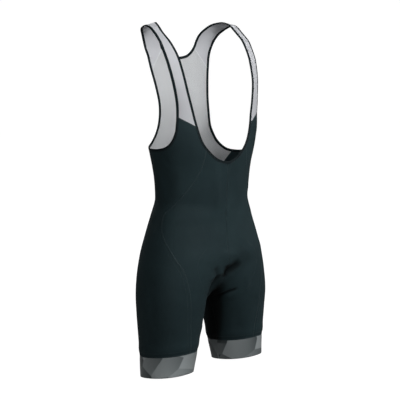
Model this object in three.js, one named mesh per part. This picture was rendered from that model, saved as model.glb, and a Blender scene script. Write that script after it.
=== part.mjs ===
// Cycling bib shorts, filled out as worn: a hollow garment of thin stretch cloth.
// Millimetres, +Z up, +X towards the garment's left, the front faces -Y.
// The origin lies midway between the two straps where they rest on the shoulders.
import * as THREE from "three";

// Cloth
const WALL = 2;
const SEAM_GAP = 0.3;
const BINDING_WIDTH = 7;
const BINDING_PROUD = 0.5;

// The body's middle plane lies in front of the shoulder line.
const BODY_Y = -45;

// Hollow body, a row for each level section. middle is how far the section's widest line lies
// behind the body's middle plane, front and back are its reach from there, axis is the leg's
// distance from the centre plane, half is the section's half width about that axis, blend rounds
// the valley between the legs, square and square_back are its squareness and ridge the crease
// down the centre front.
const BODY = table("height middle front back axis half blend square square_back ridge", [
  [-930, 0, 67, 64, 124, 59, 0, 2.25, 2.25, 0],
  [-900, 0, 72, 70, 122, 61, 0, 2.25, 2.25, 0],
  [-840, 0, 79, 82, 115, 65, 0, 2.25, 2.25, 0],
  [-790, 0, 85, 90, 111, 70, 0, 2.25, 2.25, 0],
  [-740, 0, 92, 98, 104, 79, 26, 2.25, 2.25, 0],
  [-690, 0, 99, 107, 92, 91, 30, 2.25, 2.25, 0],
  [-640, 0, 104, 114, 74, 104, 34, 2.25, 2.25, 0],
  [-590, 0, 105, 116, 54, 115, 26, 2.25, 2.25, 0],
  [-540, 0, 98, 110, 34, 123, 12, 2.25, 2.25, 0],
  [-490, 0, 92, 104, 15, 127, 3, 2.25, 2.25, 1],
  [-440, 0, 92, 97, 0, 129, 0, 2.25, 2.25, 2],
  [-385, 0, 94, 94, 0, 133, 0, 2.25, 2.35, 3],
  [-330, 0, 99, 92, 0, 144, 0, 2.35, 2.5, 3],
  [-285, 4, 100, 76, 0, 154, 0, 2.6, 2.9, 1],
  [-240, 10, 100, 64, 0, 156, 0, 3, 3.1, 0],
  [-200, 16, 103, 60, 0, 164, 0, 3, 3.2, 0],
  [-160, 22, 104, 61, 0, 172, 0, 3, 3.2, 0],
  [-120, 28, 99, 63, 0, 180, 0, 3, 3.2, 0],
  [-100, 30, 93, 64, 0, 183, 0, 3, 3.2, 0],
]);
const RIDGE_WIDTH = 16;

// Over the shoulders the sections turn about a level line: turn 0 faces the front, 90 up and
// 180 the back.
const SHOULDER_Z = -100;
const SHOULDER_Y = BODY_Y + 30;
const SHOULDER = table("turn reach half square", [
  [0, 93, 183, 3],
  [16, 85, 185, 3],
  [33, 80, 193, 3],
  [57, 78, 225, 3],
  [78, 85, 250, 3],
  [93, 101, 225, 3],
  [103, 107, 215, 3],
  [113, 106, 205, 3],
  [123, 99, 195, 3.1],
  [141, 84, 186, 3.2],
  [152, 76, 184, 3.2],
  [165, 68, 183, 3.2],
  [180, 64, 183, 3.2],
]);

// Neck edge, from the centre front upwards, by its height and half width.
const NECK_FRONT = table("height half", [
  [-343, 0],
  [-337, 23],
  [-328, 39.5],
  [-315, 54],
  [-299, 67.5],
  [-281, 77],
  [-258, 84.5],
  [-212, 95.5],
  [-160, 106.5],
  [-110, 111.5],
]);
const NECK_SHOULDER = table("turn half", [
  [15, 113.5],
  [33, 115.5],
  [56, 117.5],
  [78, 117.5],
  [93, 114],
  [103, 105],
  [112, 92],
  [119, 81],
  [126, 70.5],
  [133, 62.5],
  [141, 57],
  [150, 52],
  [158, 43],
  [165, 30],
  [168.5, 16],
  [169.5, 0],
]);

// Armhole edge: up the front of the strap, over the shoulder and down the back, then round
// below the arm by height and angle from the front.
const ARM_FRONT = table("height half", [
  [-240, 135.5],
  [-215, 135.5],
  [-190, 137],
  [-158, 141],
  [-126, 145],
]);
const ARM_SHOULDER = table("turn half", [
  [2, 148],
  [23, 149],
  [44, 149],
  [62, 147.5],
  [76, 146.5],
  [89, 147],
  [100, 149],
  [110, 147],
  [118, 140.5],
  [127, 130.5],
  [138, 121],
  [151, 113],
  [167, 105],
]);
const ARM_BACK = table("height angle", [
  [-116, 121.4],
  [-142, 122.4],
  [-172, 123.4],
  [-200, 124.2],
  [-226, 124.7],
  [-250, 125.3],
  [-269, 125.6],
  [-287, 124.2],
  [-301, 120.5],
]);
const ARM_BOTTOM = table("height angle", [
  [-309, 112],
  [-311.5, 101],
  [-309, 87.5],
  [-301, 76.5],
  [-288, 70],
  [-265, 65],
]);
// The left armhole hangs this much lower than the right one, as it is worn.
const ARM_DROP = { right: 0, left: 25 };
const ARM_DROP_FROM = -290;
const ARM_DROP_TO = -315;
// Height at which the armhole's bottom turns up into the strap's foot.
const ARM_FOOT = -301;

// Seams by height and angle from the front: the front seam swings out over the waist and back
// across the thigh, the rear seam runs from the back mesh down behind the leg.
const FRONT_SEAM = table("height angle", [
  [-930, -8],
  [-850, -5],
  [-805, -2],
  [-750, 6],
  [-708, 12],
  [-670, 20.5],
  [-640, 29],
  [-610, 39],
  [-580, 54],
  [-550, 68],
  [-523, 79],
  [-500, 84],
  [-478, 84.5],
  [-455, 76],
  [-435, 67],
  [-415, 59.5],
  [-395, 52],
  [-367, 44],
  [-331, 37.5],
  [-300, 34],
]);
const REAR_SEAM_TOP = 125;
const REAR_SEAM = table("height angle", [
  [-930, 166],
  [-840, 163],
  [-740, 158],
  [-640, 148],
  [-540, 137],
  [-460, 129],
  [-402, REAR_SEAM_TOP],
  [-300, 122],
]);
// Lower seam of the back mesh, from the armhole to the centre back.
const MESH_CORNER_ANGLE = { right: 110, left: 104 };
const MESH_SEAM = table("angle height", [
  [118, -385],
  [REAR_SEAM_TOP, -402],
  [140, -424],
  [160, -437],
  [180, -440],
]);
// Ends of the straps' slanted seams, by height, and by turn at the back of the neck.
const STRAP_FRONT_SEAM = { neck: -253, arm: -229 };
const STRAP_BACK_SEAM = { neck: 154, arm: -120 };

// Legs
const BAND_TOP = -839;
const BAND_HEIGHT = 55;
const HEM_TILT = -0.19;

// Rows and columns of the panels
const LEVEL_TOP = -470;
const CROTCH_BETWEEN = { low: -760, high: -640 };
const ROWS = { upper: 12, middle: 12, leg: 9, band: 3, foot: 7, strap: 24, mesh: 12 };
const COLUMNS = { front: 8, strap: 5, armhole: 5, flank: 3, seat: 9 };
// The rows bunch towards the crotch by these powers.
const BUNCHING = { middle: 1.6, leg: 1.4 };

// How finely the form is worked out
const SLOPE_STEP = 0.2;
const SNAP_STEPS = 8;
const HALVINGS = 46;
const FARTHEST = 240;
const EDGE_STEPS = 120;
const EDGE_STEP = 0.001;
const SAME_STATION = 1e-5;
const SAME_CORNER = 0.002;
const BACK_TURN = 110;
const SHARPEST = 0.4;

const COLOUR = {
  black: new THREE.Color(0x222d2e),
  grey: new THREE.Color(0xc9cacd),
  mesh: new THREE.Color(0xb4b4b8),
  band: new THREE.Color(0x6b7274),
  binding: new THREE.Color(0x2e3333),
};

// A table with named columns, a row for each section.
function table(names, rows) {
  const columns = names.split(" ");
  return rows.map((row) => Object.fromEntries(columns.map((name, i) => [name, row[i]])));
}

// Slopes of one column that keep a curve through its rows free of overshoot.
function slopes(rows, key, name) {
  const step = rows.slice(1).map((row, i) => row[key] - rows[i][key]);
  const rise = rows.slice(1).map((row, i) => (row[name] - rows[i][name]) / step[i]);
  return rows.map((_, i) => {
    if (i === 0) return rise[0];
    if (i === rows.length - 1) return rise[i - 1];
    const before = rise[i - 1];
    const after = rise[i];
    if (before * after <= 0) return 0;
    const mean = (before * step[i] + after * step[i - 1]) / (step[i] + step[i - 1]);
    const most = 3 * Math.min(Math.abs(before), Math.abs(after));
    return THREE.MathUtils.clamp(mean, -most, most);
  });
}

// A function that reads every column of a table at a value of its first one.
function curveThrough(rows) {
  const [key, ...names] = Object.keys(rows[0]);
  const sorted = [...rows].sort((a, b) => a[key] - b[key]);
  const slope = Object.fromEntries(names.map((name) => [name, slopes(sorted, key, name)]));
  return (value) => {
    const x = THREE.MathUtils.clamp(value, sorted[0][key], sorted[sorted.length - 1][key]);
    let i = 0;
    while (i < sorted.length - 2 && x > sorted[i + 1][key]) i += 1;
    const width = sorted[i + 1][key] - sorted[i][key];
    const t = (x - sorted[i][key]) / width;
    const read = {};
    for (const name of names) {
      const rise = t * t * (3 - 2 * t);
      const start = t * (1 - t) * (1 - t) * width * slope[name][i];
      const end = t * t * (t - 1) * width * slope[name][i + 1];
      read[name] = THREE.MathUtils.lerp(sorted[i][name], sorted[i + 1][name], rise) + start + end;
    }
    return read;
  };
}

const bodyAt = curveThrough(BODY);
const shoulderAt = curveThrough(SHOULDER);
const frontSeamAt = curveThrough(FRONT_SEAM);
const rearSeamAt = curveThrough(REAR_SEAM);

const degrees = THREE.MathUtils.radToDeg;
const radians = THREE.MathUtils.degToRad;
const mix = THREE.MathUtils.lerp;

function roundness(u, v, square) {
  return (Math.abs(u) ** square + Math.abs(v) ** square) ** (1 / square);
}

// How far outside the garment's outer face a point is, about in millimetres.
function outside(p) {
  if (p.z >= SHOULDER_Z) {
    const turn = degrees(Math.atan2(p.z - SHOULDER_Z, SHOULDER_Y - p.y));
    const row = shoulderAt(turn);
    const distance = Math.hypot(p.z - SHOULDER_Z, p.y - SHOULDER_Y);
    return (roundness(p.x / row.half, distance / row.reach, row.square) - 1) * row.reach;
  }
  const row = bodyAt(p.z);
  const behind = p.y - BODY_Y - row.middle;
  const crease = row.ridge * Math.exp(-((p.x / RIDGE_WIDTH) ** 2));
  const reach = behind < 0 ? row.front + crease : row.back;
  const square = behind < 0 ? row.square : row.square_back;
  const left = (roundness((p.x - row.axis) / row.half, behind / reach, square) - 1) * row.half;
  const right = (roundness((p.x + row.axis) / row.half, behind / reach, square) - 1) * row.half;
  const lower = Math.min(left, right);
  if (row.blend <= 0) return lower;
  const near = Math.max(row.blend - Math.abs(left - right), 0) / row.blend;
  return lower - (near * near * row.blend) / 4;
}

// Slope of that distance at a point.
function slopeAt(p) {
  const slope = new THREE.Vector3();
  for (const axis of ["x", "y", "z"]) {
    const ahead = p.clone();
    const behind = p.clone();
    ahead[axis] += SLOPE_STEP;
    behind[axis] -= SLOPE_STEP;
    slope[axis] = (outside(ahead) - outside(behind)) / (2 * SLOPE_STEP);
  }
  return slope;
}

// Outward normal of the garment's outer face.
function normalAt(p) {
  return slopeAt(p).normalize();
}

// Moves a point onto the outer face.
function snap(point) {
  const p = point.clone();
  for (let i = 0; i < SNAP_STEPS; i += 1) {
    const slope = slopeAt(p);
    p.addScaledVector(slope, -outside(p) / slope.lengthSq());
  }
  return p;
}

// The value between low and high where a rising test changes sign.
function crossing(low, high, test) {
  const rising = test(high) > test(low);
  let from = low;
  let to = high;
  for (let i = 0; i < HALVINGS; i += 1) {
    const half = (from + to) / 2;
    if (test(half) > 0 === rising) to = half;
    else from = half;
  }
  return (from + to) / 2;
}

// The point of a level section at an angle from the front, turning outwards on the left side.
function ringPoint(level, angle, tilt = 0) {
  const row = bodyAt(level);
  const turn = radians(angle);
  const at = (reach) => {
    const ahead = reach * Math.cos(turn);
    return new THREE.Vector3(
      row.axis + reach * Math.sin(turn),
      BODY_Y + row.middle - ahead,
      level - tilt * ahead,
    );
  };
  const centre = turn < 0 || turn > Math.PI ? -row.axis / Math.sin(turn) : Infinity;
  if (centre < FARTHEST && outside(at(centre)) <= 0) return at(centre).setX(0);
  return at(crossing(0, Math.min(centre, FARTHEST), (reach) => outside(at(reach))));
}

function angleOf(p) {
  const row = bodyAt(p.z);
  return degrees(Math.atan2(p.x - row.axis, BODY_Y + row.middle - p.y));
}

// The point over the shoulder at a turn and a distance from the centre plane.
function shoulderPoint(turn, half) {
  const row = shoulderAt(turn);
  const reach = row.reach * (1 - (half / row.half) ** row.square) ** (1 / row.square);
  const y = SHOULDER_Y - reach * Math.cos(radians(turn));
  return new THREE.Vector3(half, y, SHOULDER_Z + reach * Math.sin(radians(turn)));
}

// The point of the chest at a height and a distance from the centre plane.
function chestPoint(height, half) {
  const row = bodyAt(height);
  const reach = row.front + row.ridge * Math.exp(-((half / RIDGE_WIDTH) ** 2));
  const ahead = reach * (1 - (half / row.half) ** row.square) ** (1 / row.square);
  return new THREE.Vector3(half, BODY_Y + row.middle - ahead, height);
}

// The point of the back at a height and a distance from the centre plane.
function backPoint(height, half) {
  if (height > SHOULDER_Z) {
    const turn = crossing(BACK_TURN, 180, (value) => shoulderPoint(value, half).z - height);
    return shoulderPoint(turn, half);
  }
  const row = bodyAt(height);
  const reach = row.back * (1 - (half / row.half) ** row.square_back) ** (1 / row.square_back);
  return new THREE.Vector3(half, BODY_Y + row.middle + reach, height);
}

const CROTCH = crossing(CROTCH_BETWEEN.low, CROTCH_BETWEEN.high, (z) => {
  return outside(new THREE.Vector3(0, BODY_Y, z));
});

// Angles at which a level meets the centre plane, or the inseam below the crotch.
function centreAngle(level, side) {
  const row = bodyAt(level);
  const y = BODY_Y + row.middle;
  if (outside(new THREE.Vector3(0, y, level)) >= 0) return side < 0 ? -90 : 270;
  const reach = crossing(0, FARTHEST, (ahead) => {
    return outside(new THREE.Vector3(0, y + side * ahead, level));
  });
  const turn = degrees(Math.atan2(row.axis, reach));
  return side < 0 ? -turn : 180 + turn;
}

// A closed edge line of an opening, with the cloth's boundary and the binding beside it.
class Edge {
  constructor(points, clothSide) {
    this.curve = new THREE.CatmullRomCurve3(points, true, "centripetal");
    this.clothSide = clothSide;
    this.stations = new Set();
  }

  frame(t) {
    const at = (value) => snap(this.curve.getPoint(((value % 1) + 1) % 1));
    const point = at(t);
    const along = at(t + EDGE_STEP).sub(at(t - EDGE_STEP)).normalize();
    const out = normalAt(point);
    const across = new THREE.Vector3().crossVectors(out, along).multiplyScalar(this.clothSide);
    return { point, across: across.normalize() };
  }

  // The line where the cloth ends beside the binding.
  cloth(t) {
    const { point, across } = this.frame(t);
    const p = snap(point.addScaledVector(across, BINDING_WIDTH + SEAM_GAP / 2));
    return Object.assign(p, { station: ((t % 1) + 1) % 1, edge: this });
  }

  // Even steps of the cloth's boundary between two stations.
  run(from, to, count) {
    const dense = Array.from({ length: EDGE_STEPS + 1 }, (_, i) => mix(from, to, i / EDGE_STEPS));
    const points = dense.map((t) => this.cloth(t));
    const length = [0];
    for (let i = 1; i < points.length; i += 1) {
      length.push(length[i - 1] + points[i].distanceTo(points[i - 1]));
    }
    return Array.from({ length: count + 1 }, (_, k) => {
      const wanted = (length[EDGE_STEPS] * k) / count;
      let i = 0;
      while (i < EDGE_STEPS - 1 && length[i + 1] < wanted) i += 1;
      const part = (wanted - length[i]) / (length[i + 1] - length[i]);
      const t = mix(dense[i], dense[i + 1], part);
      this.stations.add((((t % 1) + 1) % 1).toFixed(7));
      return this.cloth(t);
    });
  }

  // Frames of the binding where the cloth's corners meet it.
  frames(mirrored) {
    const stations = [...this.stations].map(Number).sort((a, b) => a - b);
    const kept = stations.filter((t, i) => i === 0 || t - stations[i - 1] > SAME_STATION);
    const frames = kept.map((t) => this.frame(t));
    return mirrored ? mirrorFrames(frames) : frames;
  }

  // The station between two others where a test of the cloth's boundary changes sign.
  find(from, to, test) {
    return crossing(from, to, (t) => test(this.cloth(t)));
  }
}

// A surface of quads whose corners are shared by place.
class Sheet {
  constructor() {
    this.points = [];
    this.faces = [];
    this.seen = new Map();
  }

  corner(p) {
    const key = [p.x, p.y, p.z].map((v) => Math.round(v / SAME_CORNER)).join(" ");
    if (!this.seen.has(key)) {
      this.seen.set(key, this.points.length);
      this.points.push(p.clone());
    }
    return this.seen.get(key);
  }

  // Adds a grid of points as quads, all turned outwards.
  patch(rows) {
    const index = rows.map((row) => row.map((p) => this.corner(p)));
    const faces = [];
    let facing = 0;
    for (let i = 0; i + 1 < index.length; i += 1) {
      for (let j = 0; j + 1 < index[i].length; j += 1) {
        const face = [index[i][j], index[i + 1][j], index[i + 1][j + 1], index[i][j + 1]];
        const ring = face.filter((v, k) => v !== face[(k + 3) % 4]);
        if (ring.length < 3) continue;
        faces.push(ring);
        facing += this.area(ring).dot(normalAt(this.points[ring[0]]));
      }
    }
    if (facing < 0) faces.forEach((ring) => ring.reverse());
    this.faces.push(...faces);
    return this;
  }

  area(ring) {
    const [a, b, c, d = a] = ring.map((v) => this.points[v]);
    return new THREE.Vector3().crossVectors(c.clone().sub(a), d.clone().sub(b));
  }

  // Boundary edges, each with the cloth on its left seen from outside.
  boundary() {
    const open = new Map();
    for (const face of this.faces) {
      face.forEach((a, k) => {
        const b = face[(k + 1) % face.length];
        if (!open.delete(`${b} ${a}`)) open.set(`${a} ${b}`, [a, b]);
      });
    }
    return [...open.values()];
  }

  // Draws the boundary in by half of a seam's gap.
  drawIn(distance) {
    const pull = new Map();
    const normals = this.points.map((p) => normalAt(p));
    for (const [a, b] of this.boundary()) {
      const along = this.points[b].clone().sub(this.points[a]);
      for (const v of [a, b]) {
        const inward = new THREE.Vector3().crossVectors(normals[v], along).normalize();
        if (!pull.has(v)) pull.set(v, []);
        pull.get(v).push(inward);
      }
    }
    for (const [v, sides] of pull) {
      const sum = sides.reduce((total, side) => total.add(side), new THREE.Vector3());
      const share = sides.length === 2 ? 1 + sides[0].clone().dot(sum.clone().sub(sides[0])) : 1;
      this.points[v].addScaledVector(sum, distance / Math.max(share, SHARPEST));
    }
    return this;
  }

  // A closed wall whose outer face is this surface.
  wall(thickness) {
    this.drawIn(SEAM_GAP / 2);
    const inner = this.points.map((p) => p.clone().addScaledVector(normalAt(p), -thickness));
    const count = this.points.length;
    const corners = [...this.points, ...inner];
    const triangles = [];
    for (const face of this.faces) {
      for (let k = 1; k + 1 < face.length; k += 1) {
        const [a, b, c] = [face[0], face[k], face[k + 1]];
        triangles.push(a, b, c, c + count, b + count, a + count);
      }
    }
    for (const [a, b] of this.boundary()) {
      triangles.push(b, a, a + count, b, a + count, b + count);
    }
    return solid(corners, triangles);
  }
}

function solid(corners, triangles) {
  const geometry = new THREE.BufferGeometry();
  geometry.setAttribute(
    "position",
    new THREE.Float32BufferAttribute(corners.flatMap((p) => p.toArray()), 3),
  );
  geometry.setIndex(triangles);
  geometry.computeVertexNormals();
  return geometry;
}

// One side of the garment, worked out on the left and mirrored for the right.
class Half {
  constructor(name) {
    this.name = name;
    this.mirrored = name === "right";
    this.drop = ARM_DROP[name];
    this.neck = new Edge(neckLine(), -1);
    this.arm = new Edge(this.armLine(), 1);
    this.findCorners();
    this.layTops();
  }

  lowered(height) {
    const part = THREE.MathUtils.smoothstep(-height, -ARM_DROP_FROM, -ARM_DROP_TO);
    return height - this.drop * part;
  }

  armLine() {
    return [
      ...ARM_FRONT.map((row) => chestPoint(row.height, row.half)),
      ...ARM_SHOULDER.map((row) => shoulderPoint(row.turn, row.half)),
      ...[...ARM_BACK, ...ARM_BOTTOM].map((row) => ringPoint(this.lowered(row.height), row.angle)),
    ];
  }

  // Stations on the edges where seams end.
  findCorners() {
    const { neck, arm } = this;
    const armRows = ARM_FRONT.length + ARM_SHOULDER.length + ARM_BACK.length + ARM_BOTTOM.length;
    const topOfArm = (ARM_FRONT.length + ARM_SHOULDER.length / 2) / armRows;
    const bottom = (armRows - ARM_BOTTOM.length + 1) / armRows;
    const quarter = NECK_FRONT.length / (2 * (NECK_FRONT.length + NECK_SHOULDER.length - 1));
    this.seamTop = neck.find(0, quarter, (p) => angleOf(p) - frontSeamAt(p.z).angle);
    this.strapNeck = neck.find(this.seamTop, quarter, (p) => p.z - STRAP_FRONT_SEAM.neck);
    this.strapArm = arm.find(0, topOfArm, (p) => p.z - STRAP_FRONT_SEAM.arm);
    const turnOf = (p) => degrees(Math.atan2(p.z - SHOULDER_Z, SHOULDER_Y - p.y));
    this.backNeck = neck.find(quarter, 0.5, (p) => turnOf(p) - STRAP_BACK_SEAM.neck);
    this.backArm = arm.find(topOfArm, bottom, (p) => p.z - STRAP_BACK_SEAM.arm);
    const armholeFront = this.lowered(ARM_FOOT);
    const cornerAngle = MESH_CORNER_ANGLE[this.name];
    this.front = arm.find(bottom, 1 + this.strapArm, (p) => p.z - armholeFront);
    this.corner = arm.find(this.backArm, this.front, (p) => cornerAngle - angleOf(p));
  }

  // The top points of each panel's columns.
  layTops() {
    const { neck, arm } = this;
    this.frontTop = neck.run(0, this.seamTop, COLUMNS.front);
    this.frontTop[0].x = 0;
    const seam = this.frontTop[COLUMNS.front];
    this.armBottom = arm.run(this.front, this.corner, COLUMNS.armhole);
    const first = this.armBottom[0];
    const share = this.shareOf(first, frontSeamAt, rearSeamAt);
    this.footLine = Array.from({ length: COLUMNS.strap + 1 }, (_, i) => {
      if (i === 0) return seam;
      if (i === COLUMNS.strap) return first;
      const height = mix(seam.z, first.z, i / COLUMNS.strap);
      const angle = mix(frontSeamAt(height).angle, rearSeamAt(height).angle,
        (share * i) / COLUMNS.strap);
      return ringPoint(height, angle);
    });
    const corner = this.armBottom[COLUMNS.armhole];
    const start = angleOf(corner);
    const lowerSeam = curveThrough([{ angle: start, height: corner.z }, ...MESH_SEAM]);
    const seamPoint = (angle) => ringPoint(lowerSeam(angle).height, angle);
    this.flankTop = Array.from({ length: COLUMNS.flank + 1 }, (_, i) => {
      return i === 0 ? corner : seamPoint(mix(start, REAR_SEAM_TOP, i / COLUMNS.flank));
    });
    this.seatTop = Array.from({ length: COLUMNS.seat + 1 }, (_, i) => {
      return seamPoint(mix(REAR_SEAM_TOP, 180, i / COLUMNS.seat));
    });
    this.seatTop[COLUMNS.seat].x = 0;
    this.sideTop = [
      ...this.footLine,
      ...this.armBottom.slice(1),
      ...this.flankTop.slice(1),
    ];
  }

  shareOf(p, from, to) {
    const start = from(p.z).angle;
    return (angleOf(p) - start) / (to(p.z).angle - start);
  }

  // Rows of a panel from its top points down to the leg band, between two seams.
  panel(top, from, to, centre = null) {
    const shares = top.map((p) => this.shareOf(p, from, to));
    shares[0] = 0;
    shares[shares.length - 1] = 1;
    const at = (level, share, tilt) => {
      const p = ringPoint(level, mix(from(level).angle, to(level).angle, share), tilt);
      if (share === centre && level > CROTCH) p.x = 0;
      return p;
    };
    const rows = [top];
    for (let i = 1; i <= ROWS.upper; i += 1) {
      const part = i / ROWS.upper;
      rows.push(top.map((p, j) => at(mix(p.z, LEVEL_TOP, part), shares[j])));
    }
    for (let i = 1; i <= ROWS.middle; i += 1) {
      const level = CROTCH + (LEVEL_TOP - CROTCH) * (1 - i / ROWS.middle) ** BUNCHING.middle;
      rows.push(shares.map((share) => at(level, share)));
    }
    for (let i = 1; i <= ROWS.leg; i += 1) {
      const part = (i / ROWS.leg) ** BUNCHING.leg;
      const level = mix(CROTCH, BAND_TOP, part);
      rows.push(shares.map((share) => at(level, share, HEM_TILT * part)));
    }
    return rows;
  }

  frontRows() {
    const centre = (level) => ({ angle: centreAngle(level, -1) });
    return this.panel(this.frontTop, centre, frontSeamAt, 0);
  }

  sideRows() {
    return this.panel(this.sideTop, frontSeamAt, rearSeamAt);
  }

  seatRows() {
    const centre = (level) => ({ angle: centreAngle(level, 1) });
    return this.panel(this.seatTop, rearSeamAt, centre, 1);
  }

  // Rows of a band of cloth between two lines of points.
  bandRows(left, right, columns) {
    return left.map((start, i) => {
      return Array.from({ length: columns + 1 }, (_, j) => {
        if (j === 0) return start;
        if (j === columns) return right[i];
        return snap(start.clone().lerp(right[i], j / columns));
      });
    });
  }

  // The black foot of the strap, from the chest up to the slanted front seam.
  footRows() {
    const left = this.neck.run(this.seamTop, this.strapNeck, ROWS.foot);
    const right = this.arm.run(this.front, 1 + this.strapArm, ROWS.foot);
    const rows = this.bandRows(left, right, COLUMNS.strap);
    rows[0] = this.footLine;
    return rows.reverse();
  }

  strapRows() {
    const left = this.neck.run(this.strapNeck, this.backNeck, ROWS.strap);
    const right = this.arm.run(this.strapArm, this.backArm, ROWS.strap);
    return this.bandRows(left, right, COLUMNS.strap);
  }

  // Half of the back mesh, from the centre back to the armhole.
  meshRows() {
    const bottom = [...this.seatTop].reverse().concat([...this.flankTop].reverse().slice(1));
    const across = bottom.length - 1;
    const along = across - COLUMNS.strap;
    const neck = this.neck.run(0.5, this.backNeck, along);
    neck[0].x = 0;
    const seamEnd = this.arm.cloth(this.backArm);
    const seam = this.bandRows([neck[along]], [seamEnd], COLUMNS.strap)[0];
    const top = [...neck, ...seam.slice(1)];
    const right = this.arm.run(this.backArm, this.corner, ROWS.mesh);
    return right.map((end, i) => {
      const v = i / ROWS.mesh;
      const start = top[0].clone().lerp(bottom[0], v);
      return top.map((_, j) => {
        if (i === 0) return top[j];
        if (i === ROWS.mesh) return bottom[j];
        if (j === across) return end;
        const u = j / across;
        const p = new THREE.Vector3()
          .addScaledVector(top[j], 1 - v)
          .addScaledVector(bottom[j], v)
          .addScaledVector(start, 1 - u)
          .addScaledVector(end, u)
          .addScaledVector(top[0], -(1 - u) * (1 - v))
          .addScaledVector(top[across], -u * (1 - v))
          .addScaledVector(bottom[0], -(1 - u) * v)
          .addScaledVector(bottom[across], -u * v);
        return backPoint(p.z, p.x);
      });
    });
  }

  // Rows of the leg band, a closed ring under the three panels.
  bandTube() {
    const angles = [this.frontRows(), this.sideRows(), this.seatRows()].flatMap((rows) => {
      return rows[rows.length - 1].slice(0, -1).map((p) => this.bandAngle(p));
    });
    return Array.from({ length: ROWS.band + 1 }, (_, i) => {
      const level = BAND_TOP - (BAND_HEIGHT * i) / ROWS.band;
      const row = angles.map((angle) => ringPoint(level, angle, HEM_TILT));
      return [...row, row[0]];
    });
  }

  // The angle of a point of the band's top seam about the leg.
  bandAngle(p) {
    const row = bodyAt(BAND_TOP);
    return degrees(Math.atan2(p.x - row.axis, BODY_Y + row.middle - p.y));
  }

  placed(rows) {
    if (!this.mirrored) return rows;
    return rows.map((row) => row.map((p) => p.clone().setX(-p.x)));
  }
}

function mirrorFrames(frames) {
  const turned = (p) => p.clone().setX(-p.x);
  return [...frames].reverse().map(({ point, across }) => {
    return { point: turned(point), across: turned(across) };
  });
}

// Frames around the whole neck: the left half from the centre front to the centre back, then the
// right half back to the centre front.
function neckFrames({ left, right }) {
  const leftSide = left.neck.frames(false);
  const rightSide = right.neck.frames(true);
  return [...leftSide, ...rightSide.slice(1, -1)];
}

function neckLine() {
  const left = [
    ...NECK_FRONT.map((row) => chestPoint(row.height, row.half)),
    ...NECK_SHOULDER.map((row) => shoulderPoint(row.turn, row.half)),
  ];
  const right = left.slice(1, -1).reverse();
  return [...left, ...right.map((p) => p.clone().setX(-p.x))];
}

// A binding around an opening: a flat closed ring that holds the cloth's edge in its middle.
function bindingRing(frames) {
  const corners = [];
  const triangles = [];
  const out = BINDING_PROUD;
  const back = -WALL - BINDING_PROUD;
  const outline = [
    [0, out],
    [BINDING_WIDTH, out],
    [BINDING_WIDTH, back],
    [0, back],
  ];
  for (const { point, across } of frames) {
    const far = snap(point.clone().addScaledVector(across, BINDING_WIDTH));
    for (const [width, height] of outline) {
      const base = width > 0 ? far : point;
      corners.push(base.clone().addScaledVector(normalAt(base), height));
    }
  }
  const count = frames.length;
  for (let i = 0; i < count; i += 1) {
    const next = (i + 1) % count;
    for (let k = 0; k < 4; k += 1) {
      const a = 4 * i + k;
      const b = 4 * i + ((k + 1) % 4);
      const c = 4 * next + ((k + 1) % 4);
      const d = 4 * next + k;
      triangles.push(a, b, c, a, c, d);
    }
  }
  return solid(corners, triangles);
}

const fabric = (color) => new THREE.MeshStandardMaterial({ color, roughness: 0.8, metalness: 0 });

const shorts = new THREE.Group();
shorts.name = "bib_shorts";

function add(name, geometry, color) {
  const mesh = new THREE.Mesh(geometry, fabric(color));
  mesh.name = name;
  shorts.add(mesh);
}

// The closed wall of a piece, from rows of points that are already on their own side.
function wallOf(...grids) {
  const sheet = new Sheet();
  for (const rows of grids) sheet.patch(rows);
  return sheet.wall(WALL);
}

const halves = { right: new Half("right"), left: new Half("left") };
const meshHalves = [];

for (const half of Object.values(halves)) {
  const { name } = half;
  add(`front_panel_${name}`, wallOf(half.placed(half.frontRows())), COLOUR.black);
  add(`side_panel_${name}`, wallOf(half.placed(half.sideRows()), half.placed(half.footRows())),
    COLOUR.black);
  add(`seat_panel_${name}`, wallOf(half.placed(half.seatRows())), COLOUR.black);
  add(`strap_${name}`, wallOf(half.placed(half.strapRows())), COLOUR.grey);
  add(`leg_band_${name}`, wallOf(half.placed(half.bandTube())), COLOUR.band);
  meshHalves.push(half.placed(half.meshRows()));
}
add("back_mesh", wallOf(...meshHalves), COLOUR.mesh);
for (const half of Object.values(halves)) {
  const frames = half.arm.frames(half.mirrored).reverse();
  add(`armhole_binding_${half.name}`, bindingRing(frames), COLOUR.binding);
}
add("neck_binding", bindingRing(neckFrames(halves)), COLOUR.binding);

export default shorts;
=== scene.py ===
import logging
import math
from dataclasses import dataclass, field
from enum import Enum
from functools import cached_property
from typing import Callable, Optional, Sequence

import bmesh
import bpy
import numpy as np
from mathutils import Matrix, Vector


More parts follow.
